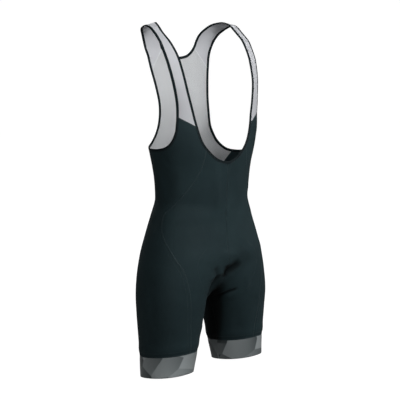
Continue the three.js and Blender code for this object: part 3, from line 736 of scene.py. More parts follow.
@dataclass
class Relief:
    """The cloth's creases and the grip of the leg bands."""

    form: Form
    cut: Cut
    path_points: int = 9
    centre_fade: float = 12.0
    end_taper: float = 0.8
    shade_reach: float = 2.2
    shade_edge: int = 4
    band_grip: float = -0.9
    band_grip_reach: float = 5.0
    band_bulge: float = 1.2
    band_bulge_height: float = 17.0
    band_bulge_reach: float = 11.0
    # Each row: side, start, end, bow, width, depth and painted shade, which darkens the cloth's colour in
    # the trough.
    folds: Sequence[Fold] = (
        Fold(None, (-338, 1), (-500, -6), 0, 5.5, -1.6),
        Fold(Side.RIGHT, (-443, 72), (-472, -4), 3, 15, -1.2),
        Fold(Side.LEFT, (-472, -4), (-466, 34), -3, 14, -1.1),
        Fold(Side.LEFT, (-440, 66), (-458, 98), 4, 12, -1.4),
        Fold(Side.RIGHT, (-350, 66), (-430, 70), 0, 15, 1.8),
        Fold(Side.RIGHT, (-345, 84), (-440, 82), 0, 12, -1.3),
        Fold(Side.LEFT, (-352, 58), (-436, 64), 0, 15, 1.4),
        Fold(Side.LEFT, (-380, 26), (-455, 30), 0, 12, 1.3),
        Fold(Side.LEFT, (-350, 16), (-450, 14), 0, 11, -1.2),
        Fold(Side.RIGHT, (-342, 19), (-476, 17), 0, 13, 4.2),
        Fold(Side.LEFT, (-346, 7), (-470, 6), 0, 12, -3.0),
        Fold(Side.RIGHT, (-632, -21), (-760, -56), 0, 27, -20, 0.2),
        Fold(Side.RIGHT, (-634, -24), (-700, -36), 0, 13, -4, 0.25),
        Fold(Side.LEFT, (-622, -52), (-870, -112), 0, 30, -8.5, 0.92),
        Fold(Side.LEFT, (-664, -64), (-602, -10), 0, 11, -8, 0.7),
        Fold(Side.LEFT, (-650, -48), (-580, 10), 0, 24, -1, 0.22),
        # This row has no depth: it only paints shade on the cloth between the thighs.
        Fold(None, (-642, -52), (-738, -96), 0, 25, 0, 0.55),
        Fold(None, (-606, -32), (-644, -42), 0, 10, -2.5, 0.45),
        Fold(Side.LEFT, (-585, -14), (-556, 12), 2, 14, -1.6),
        Fold(Side.RIGHT, (-648, -30), (-606, -8), 0, 8, -4.5, 0.3),
        Fold(None, (-612, -36), (-566, -24), 0, 16, 1.8),
        Fold(Side.LEFT, (-712, -66), (-677, -26), 3, 4, -3.6, 0.7),
        Fold(Side.LEFT, (-722, -60), (-688, -22), 3, 7, 1.4),
        Fold(Side.LEFT, (-640, -4), (-694, -13), 0, 8, 1.5),
        Fold(Side.LEFT, (-735, -33), (-812, -37), 0, 12, -1.7),
        Fold(Side.LEFT, (-655, 38), (-740, 34), 0, 16, 1.2),
        Fold(Side.LEFT, (-648, 62), (-742, 52), 0, 10, -1.3),
        Fold(Side.RIGHT, (-700, -34), (-672, -2), 2, 9, -1.6),
        Fold(Side.RIGHT, (-655, 40), (-770, 34), 0, 20, 1.4),
        Fold(Side.RIGHT, (-640, 82), (-760, 74), 0, 15, -1.6),
        Fold(Side.RIGHT, (-792, 60), (-812, 96), 2, 9, -1.3),
        Fold(Side.LEFT, (-796, 40), (-810, 84), 2, 9, -1.2),
        Fold(Side.RIGHT, (-520, 98), (-452, 92), 0, 15, -1.9),
        Fold(Side.LEFT, (-516, 96), (-456, 90), 0, 14, -1.6),
        Fold(Side.RIGHT, (-326, 98), (-366, 112), 0, 7, -1.3),
        Fold(Side.RIGHT, (-322, 82), (-352, 76), 0, 7, -1.1),
        Fold(Side.LEFT, (-350, 96), (-386, 108), 0, 7, -1.3),
        Fold(Side.LEFT, (-345, 78), (-372, 72), 0, 7, -1.1),
        Fold(Side.RIGHT, (-676, 168), (-700, 216), 5, 9, -4.2, 0.4),
        Fold(Side.LEFT, (-680, 165), (-699, 219), 6, 9, -4.4, 0.4),
        Fold(Side.RIGHT, (-718, 172), (-738, 214), 4, 10, -1.9),
        Fold(Side.LEFT, (-724, 160), (-735, 202), 4, 11, -1.7),
        Fold(None, (-600, 200), (-690, 226), 0, 12, -3.4, 0.4),
        Fold(Side.RIGHT, (-455, 128), (-466, 178), 3, 10, -1.7),
        Fold(Side.LEFT, (-458, 136), (-470, 181), -2, 11, -1.6),
        Fold(Side.RIGHT, (-486, 118), (-498, 160), 3, 12, -1.3),
        Fold(Side.LEFT, (-482, 120), (-505, 152), 2, 12, -1.2),
        Fold(Side.RIGHT, (-150, 150), (-330, 158), 0, 13, -2.4),
        Fold(Side.LEFT, (-140, 154), (-310, 150), 0, 14, -2.2),
        Fold(Side.RIGHT, (-180, 170), (-400, 172), 0, 16, 1.5),
        Fold(Side.LEFT, (-240, 168), (-420, 166), 0, 12, -1.4),
        Fold(Side.RIGHT, (-300, 128), (-392, 144), 0, 9, -1.6),
        Fold(Side.LEFT, (-320, 126), (-398, 140), 0, 9, -1.5),
    )

    def __post_init__(self) -> None:
        """Lay each fold's line on the form."""
        part = np.linspace(0, 1, self.path_points)
        self.lines: list[tuple[Fold, int, Points]] = []
        for fold in self.folds:
            level = np.interp(part, (0, 1), (fold.start[0], fold.end[0]))
            level = level + fold.bow * np.sin(math.pi * part)
            line = self.form.ring(level, np.interp(part, (0, 1), (fold.start[1], fold.end[1])))
            for side in [fold.side] if fold.side else list(Side):
                self.lines.append((fold, side.value, line * [side.value, 1, 1]))

    def at(self, p: Points) -> tuple[Values, Values]:
        """How far the cloth stands out at points of the form.

        Args:
            p: Points on the form's face.

        Returns:
            Heights above the face, negative in a trough, and the painted shade in the folds.
        """
        height, light = np.zeros(len(p)), np.ones(len(p))
        for fold, side, line in self.lines:
            reach = 3 * fold.width
            near = np.all((p > line.min(axis=0) - reach) & (p < line.max(axis=0) + reach), axis=1)
            if not near.any():
                continue
            distance, along = self._nearest(p[near], line)
            share = np.sin(math.pi * np.clip(along, 0, 1)) ** self.end_taper
            if fold.side:
                share = share * smooth((p[near, 0] * side + self.centre_fade / 2) / self.centre_fade)
            height[near] += fold.depth * share * np.exp(-((distance / fold.width) ** 2))
            # Painted shade: how much the fold darkens the cloth's colour where shade falls in it.
            full = np.minimum(1, self.shade_reach * share)
            light[near] *= 1 - fold.shade * full * np.exp(-((distance / fold.width) ** self.shade_edge))
        return height + self._grip(p), 1 - light

    @staticmethod
    def _nearest(p: Points, line: Points) -> tuple[Values, Values]:
        """Distances to a line of points, and how far along it the nearest place is."""
        best, along = np.full(len(p), np.inf), np.zeros(len(p))
        steps = len(line) - 1
        for k in range(steps):
            step = line[k + 1] - line[k]
            t = np.clip((p - line[k]) @ step / (step @ step), 0, 1)
            distance = np.linalg.norm(p - line[k] - t[:, None] * step, axis=1)
            closer = distance < best
            best = np.where(closer, distance, best)
            along = np.where(closer, (k + t) / steps, along)
        return best, along

    def _grip(self, p: Points) -> Values:
        """The squeeze at a leg band's seam, and the cloth's bulge above it."""
        ahead = self.form.body_y - p[:, 1]
        above = p[:, 2] + self.cut.hem_tilt * ahead - self.cut.band_top
        squeeze = self.band_grip * np.exp(-((above / self.band_grip_reach) ** 2))
        rise = (above - self.band_bulge_height) / self.band_bulge_reach
        return squeeze + self.band_bulge * np.exp(-(rise ** 2))


class Bench:
    """Lays out the nodes of one tree."""

    def __init__(self, tree: bpy.types.NodeTree) -> None:
        """Work on a tree."""
        self.tree = tree

    def feed(self, target: Socket, value: object) -> None:
        """Join a socket to an input, or set the input's own value."""
        if isinstance(value, Socket):
            self.tree.links.new(value, target)
        else:
            target.default_value = value

    def add(self, kind: str, **values: object) -> bpy.types.Node:
        """Add a node.

        Args:
            kind: The node's type.
            values: Settings of the node, or what feeds its inputs where the name starts with in_.

        Returns:
            The node.
        """
        node = self.tree.nodes.new(kind)
        for name, value in values.items():
            key = name.removeprefix("in_")
            if key == name:
                setattr(node, name, value)
            else:
                self.feed(node.inputs[int(key) if key.isdigit() else key.replace("_", " ")], value)
        return node

    def math(self, operation: str, a: object, b: object = 0.0) -> Socket:
        """The result of a sum on sockets or numbers."""
        return self.add("ShaderNodeMath", operation=operation, in_0=a, in_1=b).outputs[0]

    def humps(self, place: Socket) -> Socket:
        """A row of humps, one for each whole number of a place."""
        return self.math("ABSOLUTE", self.math("SINE", self.math("MULTIPLY", place, math.pi)))

    def mix(self, share: object, low: object, high: object, **settings: str) -> Socket:
        """A colour between two others."""
        mixed = self.add("ShaderNodeMix", data_type="RGBA", **settings, in_0=share, in_6=low, in_7=high)
        return mixed.outputs[2]


@dataclass
class Effects:
    """Shader groups that several finishes share."""

    lean: float = 0.6
    column_share: float = 0.65
    shade_curve: float = 0.5
    hole: float = 0.2
    thread: float = 0.34
    drift_low: float = 0.3
    drift_high: float = 0.7

    @staticmethod
    def _group(name: str, takes: str, gives: str) -> tuple[Bench, Sequence[Socket], Sequence[Socket]]:
        """A new shader group with named sockets.

        Args:
            name: The group's name.
            takes: Names of its inputs.
            gives: Names of its outputs.

        Returns:
            Its bench, the sockets that bring its inputs and those that take its outputs.
        """
        kinds = {"Vector": "Vector", "Deep": "Color", "Pale": "Color", "Color": "Color"}
        tree = bpy.data.node_groups.new(name, "ShaderNodeTree")
        for way, labels in (("INPUT", takes), ("OUTPUT", gives)):
            for label in labels.split():
                kind = f"NodeSocket{kinds.get(label, 'Float')}"
                tree.interface.new_socket(label, in_out=way, socket_type=kind)
        bench = Bench(tree)
        return bench, bench.add("NodeGroupInput").outputs, bench.add("NodeGroupOutput").inputs

    @cached_property
    def knit(self) -> bpy.types.NodeTree:
        """Columns of fine loops: a height, and a mask that is dark between the columns."""
        bench, takes, gives = self._group("knit_loops", "Vector Wales Courses", "Height Shade")
        place = bench.add("ShaderNodeSeparateXYZ", in_0=takes["Vector"]).outputs
        column = bench.humps(bench.math("MULTIPLY", place[0], takes["Wales"]))
        along = bench.math("MULTIPLY", place[1], takes["Courses"])
        loop = bench.humps(bench.math("ADD", along, bench.math("MULTIPLY", column, self.lean)))
        ridge = bench.math("MULTIPLY", column, self.column_share)
        bump = bench.math("MULTIPLY", loop, 1 - self.column_share)
        bench.feed(gives["Height"], bench.math("ADD", ridge, bump))
        bench.feed(gives["Shade"], bench.math("POWER", column, self.shade_curve))
        return bench.tree

    @cached_property
    def net(self) -> bpy.types.NodeTree:
        """A fine net: a mask that is 0 in its holes and 1 on its threads."""
        bench, takes, gives = self._group("net_holes", "Vector Holes", "Thread")
        place = bench.add("ShaderNodeSeparateXYZ", in_0=takes["Vector"]).outputs
        along = bench.math("MULTIPLY", place[1], takes["Holes"])
        offset = bench.math("MULTIPLY", bench.math("MODULO", bench.math("FLOOR", along), 2.0), 0.5)
        across = bench.math("ADD", bench.math("MULTIPLY", place[0], takes["Holes"]), offset)
        squares = []
        for value in (across, along):
            apart = bench.math("SUBTRACT", bench.math("FRACT", value), 0.5)
            squares.append(bench.math("MULTIPLY", apart, apart))
        distance = bench.math("SQRT", bench.math("ADD", *squares))
        step = bench.add("ShaderNodeMapRange", interpolation_type="SMOOTHSTEP", in_0=distance,
                         in_1=self.hole, in_2=self.thread)
        bench.feed(gives["Thread"], step.outputs[0])
        return bench.tree

    @cached_property
    def tone(self) -> bpy.types.NodeTree:
        """A colour that drifts softly between two dye tones."""
        bench, takes, gives = self._group("dye_tone", "Vector Deep Pale Scale", "Color")
        noise = bench.add("ShaderNodeTexNoise", in_Vector=takes["Vector"], in_Scale=takes["Scale"],
                          in_Detail=4.0, in_Roughness=0.55)
        drift = bench.add("ShaderNodeMapRange", in_0=noise.outputs[0], in_1=self.drift_low,
                          in_2=self.drift_high)
        bench.feed(gives["Color"], bench.mix(drift.outputs[0], takes["Deep"], takes["Pale"]))
        return bench.tree


EFFECTS = Effects()
CLOTH_UV = "cloth"
# The attribute that holds the folds' painted shade.
SHADE = "shade"


@dataclass(frozen=True)
class Finish:
    """A surface, by its name, its two tones and its roughness."""

    name: str
    deep: Colour
    pale: Colour
    roughness: float = 0.5

    def opened(self, **values: object) -> tuple[bpy.types.Material, Bench, bpy.types.Node]:
        """A new material with its Principled shader.

        Args:
            values: Inputs of the shader, with spaces as underscores.

        Returns:
            The material, its bench and its shader node.
        """
        material = bpy.data.materials.new(self.name)
        material.use_nodes = True
        shader = material.node_tree.nodes["Principled BSDF"]
        for key, value in {"Roughness": self.roughness, **values}.items():
            shader.inputs[key.replace("_", " ")].default_value = value
        return material, Bench(material.node_tree), shader

    def dyed(self, bench: Bench, scale: float) -> Socket:
        """The dye tone's colour, on the object's own coordinates."""
        place = bench.add("ShaderNodeTexCoord").outputs["Object"]
        tone = bench.add("ShaderNodeGroup", node_tree=EFFECTS.tone, in_Vector=place,
                         in_Deep=(*self.deep, 1), in_Pale=(*self.pale, 1), in_Scale=scale)
        return tone.outputs["Color"]

    @staticmethod
    def patterned(bench: Bench, group: bpy.types.NodeTree, **values: float) -> Sequence[Socket]:
        """The outputs of a pattern that follows the cloth, with its own values."""
        flat = bench.add("ShaderNodeUVMap", uv_map=CLOTH_UV).outputs[0]
        return bench.add("ShaderNodeGroup", node_tree=group, in_Vector=flat, **values).outputs

    @staticmethod
    def shaded(bench: Bench, colour: Socket, gaps: object, shader: bpy.types.Node) -> None:
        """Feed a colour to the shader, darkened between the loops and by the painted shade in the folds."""
        # The shade attribute is painted shade: it darkens the base colour in the folds.
        painted_shade = bench.add("ShaderNodeAttribute", attribute_name=SHADE).outputs["Fac"]
        light = bench.math("MULTIPLY", bench.math("SUBTRACT", 1.0, painted_shade), gaps)
        bench.feed(shader.inputs["Base Color"], bench.mix(1.0, colour, light, blend_type="MULTIPLY"))

    @staticmethod
    def bumped(bench: Bench, height: Socket, depth: float, shader: bpy.types.Node) -> None:
        """Feed a height in metres through a bump to the shader."""
        bump = bench.add("ShaderNodeBump", in_Strength=1.0, in_Distance=depth, in_Height=height)
        bench.feed(shader.inputs["Normal"], bump.outputs[0])


@dataclass(frozen=True)
class KnitFinish(Finish):
    """A close warp knit, by its loops to the metre and depth in metres."""

    sheen: float = 0.01
    sheen_roughness: float = 0.45
    gloss: float = 0.5
    wales: float = 1250.0
    courses: float = 1100.0
    depth: float = 0.00004
    between: float = 0.82
    drift: float = 9.0

    def build(self) -> bpy.types.Material:
        """Build the material."""
        material, bench, shader = self.opened(
            Sheen_Weight=self.sheen, Sheen_Roughness=self.sheen_roughness, Specular_IOR_Level=self.gloss)
        loops = self.patterned(bench, EFFECTS.knit, in_Wales=self.wales, in_Courses=self.courses)
        gaps = bench.add("ShaderNodeMapRange", in_0=loops["Shade"], in_3=self.between, in_4=1.0)
        self.shaded(bench, self.dyed(bench, self.drift), gaps.outputs[0], shader)
        self.bumped(bench, loops["Height"], self.depth, shader)
        return material


@dataclass(frozen=True)
class NetFinish(Finish):
    """A fine net knit, by the colour in its holes and its holes to the metre."""

    roughness: float = 0.75
    hole: Colour = (0.44, 0.45, 0.46)
    sheen: float = 0.15
    holes: float = 900.0
    depth: float = 0.00005
    drift: float = 14.0

    def build(self) -> bpy.types.Material:
        """Build the material."""
        material, bench, shader = self.opened(Sheen_Weight=self.sheen)
        thread = self.patterned(bench, EFFECTS.net, in_Holes=self.holes)["Thread"]
        tint = bench.mix(thread, (*self.hole, 1), self.dyed(bench, self.drift))
        bench.feed(shader.inputs["Base Color"], tint)
        self.bumped(bench, thread, self.depth, shader)
        return material


@dataclass(frozen=True)
class FacetFinish(Finish):
    """Elastic cloth with a tonal print of large soft facets.

    The facets are the cells of a stretched random grid, each with its own tone and its own
    gradient, between the deepest and the palest grey of the print.
    """

    sheen: float = 0.2
    stretch: tuple[float, float, float] = (14.0, 19.0, 1.0)
    turn: tuple[float, float, float] = (0.0, 0.0, 0.35)
    shift: tuple[float, float, float] = (2.6, 0.0, 0.0)
    softness: float = 0.1
    steps: float = 0.6
    gradient: float = 0.5
    base: float = 0.2
    wales: float = 1500.0
    depth: float = 0.00004

    def build(self) -> bpy.types.Material:
        """Build the material."""
        material, bench, shader = self.opened(Sheen_Weight=self.sheen)
        flat = bench.add("ShaderNodeUVMap", uv_map=CLOTH_UV).outputs[0]
        grid = bench.add("ShaderNodeMapping", in_Vector=flat, in_Scale=self.stretch,
                         in_Rotation=self.turn, in_Location=self.shift).outputs[0]
        cells = bench.add("ShaderNodeTexVoronoi", voronoi_dimensions="2D", feature="SMOOTH_F1",
                          in_Vector=grid, in_Scale=1.0, in_Randomness=1.0, in_Smoothness=self.softness)
        own = bench.add("ShaderNodeSeparateColor", in_0=cells.outputs["Color"])
        lean = bench.add("ShaderNodeVectorMath", operation="SUBTRACT", in_0=grid,
                         in_1=cells.outputs["Position"])
        slope = bench.add("ShaderNodeSeparateXYZ", in_0=lean.outputs[0])
        fall = bench.math("ADD", slope.outputs[0], slope.outputs[1])
        tone = bench.math("ADD", bench.math("MULTIPLY", own.outputs[0], self.steps),
                          bench.math("MULTIPLY", fall, self.gradient))
        tint = bench.mix(bench.math("ADD", tone, self.base), (*self.deep, 1), (*self.pale, 1))
        bench.feed(shader.inputs["Base Color"], tint)
        loops = self.patterned(bench, EFFECTS.knit, in_Wales=self.wales, in_Courses=self.wales)
        self.bumped(bench, loops["Height"], self.depth, shader)
        return material


@dataclass(frozen=True)
class ThreadFinish(Finish):
    """Sewing thread, by how many times its tones change in a metre."""

    roughness: float = 0.45
    sheen: float = 0.04
    spread: float = 60.0

    def build(self) -> bpy.types.Material:
        """Build the material."""
        material, bench, shader = self.opened(Sheen_Weight=self.sheen)
        self.shaded(bench, self.dyed(bench, self.spread), 1.0, shader)
        return material


@dataclass(frozen=True)
class RoomFinish(Finish):
    """Matt white that glows for the eye and hardly lights the garment."""

    roughness: float = 1.0
    glow: float = 0.02

    def build(self) -> bpy.types.Material:
        """Build the material."""
        material, bench, shader = self.opened(Base_Color=(*self.deep, 1), Emission_Color=(*self.pale, 1))
        seen = bench.add("ShaderNodeLightPath").outputs["Is Camera Ray"]
        glow = bench.math("ADD", bench.math("MULTIPLY", seen, 1 - self.glow), self.glow)
        bench.feed(shader.inputs["Emission Strength"], glow)
        return material


@dataclass
class Workshop:
    """Turns grids of points into pieces that ride on the garment's body."""

    form: Form
    relief: Relief
    weld: float = 0.00001
    strip_pitch: float = 3.0
    stitch_pitch: float = 3.4
    stitch_size: tuple[float, float, float] = (1.15, 0.24, 0.12)
    ring_gap: float = 0.5
    tape_sections: int = 420
    tape_points: int = 18
    tape_square: float = 3.2

    def settled(self, points: Points, lift: float = 0.0) -> tuple[Points, Values]:
        """Points in millimetres, moved out by the cloth's creases and a lift, and their painted shade."""
        height, shade = (value.reshape(points.shape[:-1]) for value in self.relief.at(points.reshape(-1, 3)))
        return points + self.form.normal(points) * (height + lift)[..., None], shade

    def lay(self, bm: bmesh.types.BMesh, grid: Points, shade: Values, check: Optional[int] = None) -> None:
        """Lay a grid of points as faces that look outwards.

        Args:
            bm: The mesh that takes the faces.
            grid: Points in millimetres, in rows and columns.
            shade: How much painted shade the points take, kept for the cloth's colour.
            check: The column that faces outwards, the middle one where it is None.
        """
        rows, columns = grid.shape[:2]
        i, j = rows // 2, columns // 2 if check is None else check
        j = min(j, columns - 2)
        facing = np.cross(grid[i, j + 1] - grid[i, j], grid[i + 1, j] - grid[i, j])
        if facing @ self.form.normal(grid[i, j][None])[0] < 0:
            grid, shade = grid[:, ::-1], shade[:, ::-1]
        uv = bm.loops.layers.uv.verify()
        layer = bm.verts.layers.float.get(SHADE) or bm.verts.layers.float.new(SHADE)
        first = len(bm.faces)
        made = bmesh.ops.create_grid(bm, x_segments=columns - 1, y_segments=rows - 1, size=0.5)
        flats = (np.stack([lengths(grid, 1), lengths(grid)], axis=-1) * MM).tolist()
        places = (grid * MM).tolist()
        flat_of = {}
        for vert in made["verts"]:
            column = round((vert.co.x + 0.5) * (columns - 1))
            row = round((vert.co.y + 0.5) * (rows - 1))
            vert.co = places[row][column]
            vert[layer] = shade[row, column]
            flat_of[vert] = flats[row][column]
        bm.faces.ensure_lookup_table()
        for face in bm.faces[first:]:
            face.smooth = True
            for loop in face.loops:
                loop[uv].uv = flat_of[loop.vert]

    def close(self, name: str, bm: bmesh.types.BMesh, material: bpy.types.Material, slot: str) -> Piece:
        """Weld a mesh's doubles and make it a piece.

        Args:
            name: The piece's name.
            bm: The mesh, which is freed.
            material: Its material.
            slot: A material slot's name; not used.

        Returns:
            The piece, at the origin.
        """
        bmesh.ops.remove_doubles(bm, verts=bm.verts[:], dist=self.weld)
        mesh = bpy.data.meshes.new(name)
        bm.to_mesh(mesh)
        bm.free()
        for layer in mesh.uv_layers:
            layer.name = CLOTH_UV
        mesh.materials.append(material)
        piece = bpy.data.objects.new(name, mesh)
        bpy.context.scene.collection.objects.link(piece)
        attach(piece, "root")
        return piece

    def cloth(self, name: str, grids: Sequence[Points], material: bpy.types.Material, slot: str,
              thickness: float, node: str) -> Piece:
        """A thin shell of cloth.

        Args:
            name: The piece's name.
            grids: Grids of the form that it covers, in millimetres.
            material: Its material.
            slot: A material slot's name, passed on to close.
            thickness: The cloth's thickness, in millimetres.
            node: The node that it stands for.

        Returns:
            The piece.
        """
        bm = bmesh.new()
        for grid in grids:
            self.lay(bm, *self.settled(grid))
        piece = self.close(name, bm, material, slot)
        wall = piece.modifiers.new("wall", "SOLIDIFY")
        wall.thickness = thickness * MM
        wall.offset = -1
        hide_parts(node)
        return piece

    def spaced(self, line: Points, pitch: float) -> tuple[Points, Points]:
        """Even stations along a line of the form.

        Args:
            line: Points on the form, in millimetres.
            pitch: About how far apart the stations are.

        Returns:
            The stations, and the directions along the line.
        """
        length = lengths(line)
        count = max(2, round(length[-1] / pitch))
        place = np.linspace(0, length[-1], count + 1)
        points = np.stack([np.interp(place, length, line[:, k]) for k in range(3)], axis=-1)
        along = unit(np.gradient(points, axis=0))
        if np.linalg.norm(line[0] - line[-1]) < self.ring_gap:
            along[0] = along[-1] = unit(points[1] - points[-2])
        return self.form.snap(points), along

    def beside(self, points: Points, along: Points, offset: float) -> Points:
        """Points of the form at an offset to one side of stations on it."""
        return self.form.snap(points + np.cross(self.form.normal(points), along) * offset)

    def strip(self, name: str, line: Points, material: bpy.types.Material, slot: str,
              profile: Sequence[tuple[float, float]]) -> Piece:
        """A flat raised strip along a line of the form.

        Args:
            name: The piece's name.
            line: Points on the form, in millimetres.
            material: Its material.
            slot: A material slot's name, passed on to close.
            profile: Offsets across the strip, each with its height above the cloth.

        Returns:
            The piece.
        """
        bm = bmesh.new()
        points, along = self.spaced(line, self.strip_pitch)
        grid = np.stack([
            self.settled(self.beside(points, along, offset), lift)[0] for offset, lift in profile
        ], axis=1)
        # The welt takes the painted shade of the folds it crosses.
        shade = self.relief.at(points)[1]
        self.lay(bm, grid, np.repeat(shade[:, None], len(profile), axis=1))
        if profile[len(profile) // 2][1] < 0:
            bmesh.ops.reverse_faces(bm, faces=bm.faces)
        return self.close(name, bm, material, slot)

    def stitch(self, name: str, line: Points, rows: Sequence[float], material: bpy.types.Material,
               slot: str, lift: float) -> Piece:
        """Rows of stitches along a line of the form.

        Args:
            name: The piece's name.
            line: Points on the form, in millimetres.
            rows: Offset of each row from the line.
            material: The thread.
            slot: A material slot's name, passed on to close.
            lift: Height of the stitches' middles above the cloth.

        Returns:
            The piece.
        """
        bm = bmesh.new()
        layer = bm.verts.layers.float.new(SHADE)
        points, along = self.spaced(line, self.stitch_pitch)
        # Each stitch takes the painted shade of the fold it lies in.
        shade = self.relief.at(points)[1]
        size = Matrix.Diagonal((*self.stitch_size, 1 / MM))
        for row in rows:
            side = self.beside(points, along, row)
            up, middle = self.form.normal(side), self.settled(side, lift)[0] * MM
            across = unit(np.cross(up, along))
            for k in range(len(points) - 1):
                axes = Matrix((along[k], across[k], up[k])).transposed().to_4x4()
                place = Matrix.Translation(middle[k]) @ axes @ size * MM
                made = bmesh.ops.create_icosphere(bm, subdivisions=1, radius=1, matrix=place)
                for vert in made["verts"]:
                    vert[layer] = shade[k]
        for face in bm.faces:
            face.smooth = True
        return self.close(name, bm, material, slot)

    def tape(self, name: str, frame_of: tuple[Points, Points], material: bpy.types.Material, slot: str,
             node: str, size: tuple[float, float, float]) -> Piece:
        """The folded tape that binds an opening's edge.

        Args:
            name: The piece's name.
            frame_of: Points of the edge line, and the directions across it to the cloth.
            material: Its material.
            slot: A material slot's name, passed on to close.
            node: The node that it stands for.
            size: Its width, how far it stands out of the form and how far it reaches in.

        Returns:
            The piece.
        """
        point, across = frame_of
        width, out, deep = size
        up = self.form.normal(point)
        turn = np.linspace(0, 2 * math.pi, self.tape_points + 1)[:, None]
        cos, sin, square = np.cos(turn), np.sin(turn), self.tape_square
        blunt = (np.abs(cos) ** square + np.abs(sin) ** square) ** (-1 / square)
        centre = point + across * width / 2 + up * ((out - deep) / 2)
        grid = np.stack([
            centre + across * (c * b * width / 2) + up * (s * b * (out + deep) / 2)
            for c, s, b in zip(cos, sin, blunt)
        ], axis=1)
        grid = grid + up[:, None] * self.relief.at(point)[0][:, None, None]
        bm = bmesh.new()
        self.lay(bm, grid, np.zeros(grid.shape[:2]), self.tape_points // 4)
        piece = self.close(name, bm, material, slot)
        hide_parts(node)
        return piece


class Look(Enum):
    """How a seam or a row of stitches shows on the cloth."""

    DARK = "dark"
    QUIET = "quiet"
    PALE = "pale"


class Cloths:
    """The materials of the garment."""

    def __init__(self) -> None:
        """Build each finish's material."""
        self.knit = KnitFinish("black_knit", (0.0180, 0.0325, 0.0370), (0.0230, 0.0420, 0.0470), 0.6,
                               gloss=0.1).build()
        self.strap = KnitFinish("strap_knit", (0.55, 0.56, 0.59), (0.62, 0.63, 0.66), 0.6, sheen=0.05,
                                between=0.95, depth=0.00002).build()
        self.mesh = NetFinish("mesh_knit", (0.60, 0.615, 0.63), (0.67, 0.685, 0.70)).build()
        self.bands = FacetFinish("band_elastic", (0.035, 0.05, 0.053), (0.42, 0.46, 0.47)).build()
        self.tape = KnitFinish("binding_tape", (0.010, 0.016, 0.018), (0.014, 0.021, 0.024), 0.75,
                               gloss=0.1, wales=900, courses=900).build()
        self.welts = {
            Look.DARK: KnitFinish("flat_seam", (0.0195, 0.0350, 0.0400), (0.0250, 0.0450, 0.0500),
                                  sheen=0.02, gloss=0.15).build(),
            Look.QUIET: self.knit,
            Look.PALE: KnitFinish("pale_flat_seam", (0.66, 0.68, 0.70), (0.72, 0.74, 0.76),
                                  sheen=0.3).build(),
        }
        self.threads = {
            Look.DARK: ThreadFinish("dark_thread", (0.020, 0.038, 0.043), (0.075, 0.100, 0.108),
                                    spread=14.0).build(),
            Look.QUIET: ThreadFinish("black_thread", (0.012, 0.024, 0.028), (0.017, 0.032, 0.037)).build(),
            Look.PALE: ThreadFinish("pale_thread", (0.62, 0.63, 0.66), (0.72, 0.73, 0.76)).build(),
        }


@dataclass
class Sewing:
    """The flat seams of one garment, and their rows of stitches."""

    shop: Workshop
    cloths: Cloths
    half_width: float = 1.9
    edge: float = 0.5
    rise: float = 0.35
    sunk: float = -0.2
    middle: float = 0.7
    rows: tuple[float, float] = (-1.0, 1.0)
    row_lift: float = 0.08
    welt_profile: Sequence[tuple[float, float]] = ((-0.9, -0.1), (-0.4, 0.22), (0.4, 0.22), (0.9, -0.1))

    def flat_seam(self, name: str, line: Points, slot: str = "black_knit", look: Look = Look.DARK,
                  inner: float = 0.0) -> list[Piece]:
        """A raised flat seam with two rows of stitches.

        Args:
            name: The seam's name.
            line: The seam's line, in millimetres.
            slot: A material slot's name, passed on to the strips and stitches.
            look: How it shows: dark, in the cloth's own black so that it hardly shows, or pale.
            inner: The cloth's thickness where the seam shows inside too, or 0.

        Returns:
            Its pieces.
        """
        welt, thread = self.cloths.welts[look], self.cloths.threads[look]
        flat = [
            (-self.half_width, self.sunk), (self.edge - self.half_width, self.rise),
            (0, self.rise * self.middle), (self.half_width - self.edge, self.rise),
            (self.half_width, self.sunk),
        ]
        pieces = [
            self.shop.strip(f"{name}_seam", line, welt, slot, flat),
            self.shop.stitch(f"{name}_stitches", line, self.rows, thread, slot, self.rise),
        ]
        if inner:
            under = [(offset, -inner - lift) for offset, lift in flat]
            pieces.append(self.shop.strip(f"{name}_inner_seam", line, welt, slot, under))
        return pieces

    def hem_welt(self, name: str, line: Points) -> Piece:
        """A single narrow ridge, as a line of edge stitching raises it."""
        return self.shop.strip(name, line, self.cloths.welts[Look.DARK], "black_knit", self.welt_profile)

    def row(self, name: str, line: Points, slot: str = "black_knit", look: Look = Look.DARK,
            lift: Optional[float] = None) -> Piece:
        """A single row of stitches, at the usual lift where none is given."""
        lift = self.row_lift if lift is None else lift
        return self.shop.stitch(name, line, (0.0,), self.cloths.threads[look], slot, lift)


def declared(cloth: Piece,
             seams: Sequence[Piece]) -> list[Piece]:
    """List a cloth with its seams."""
    return [cloth, *seams]


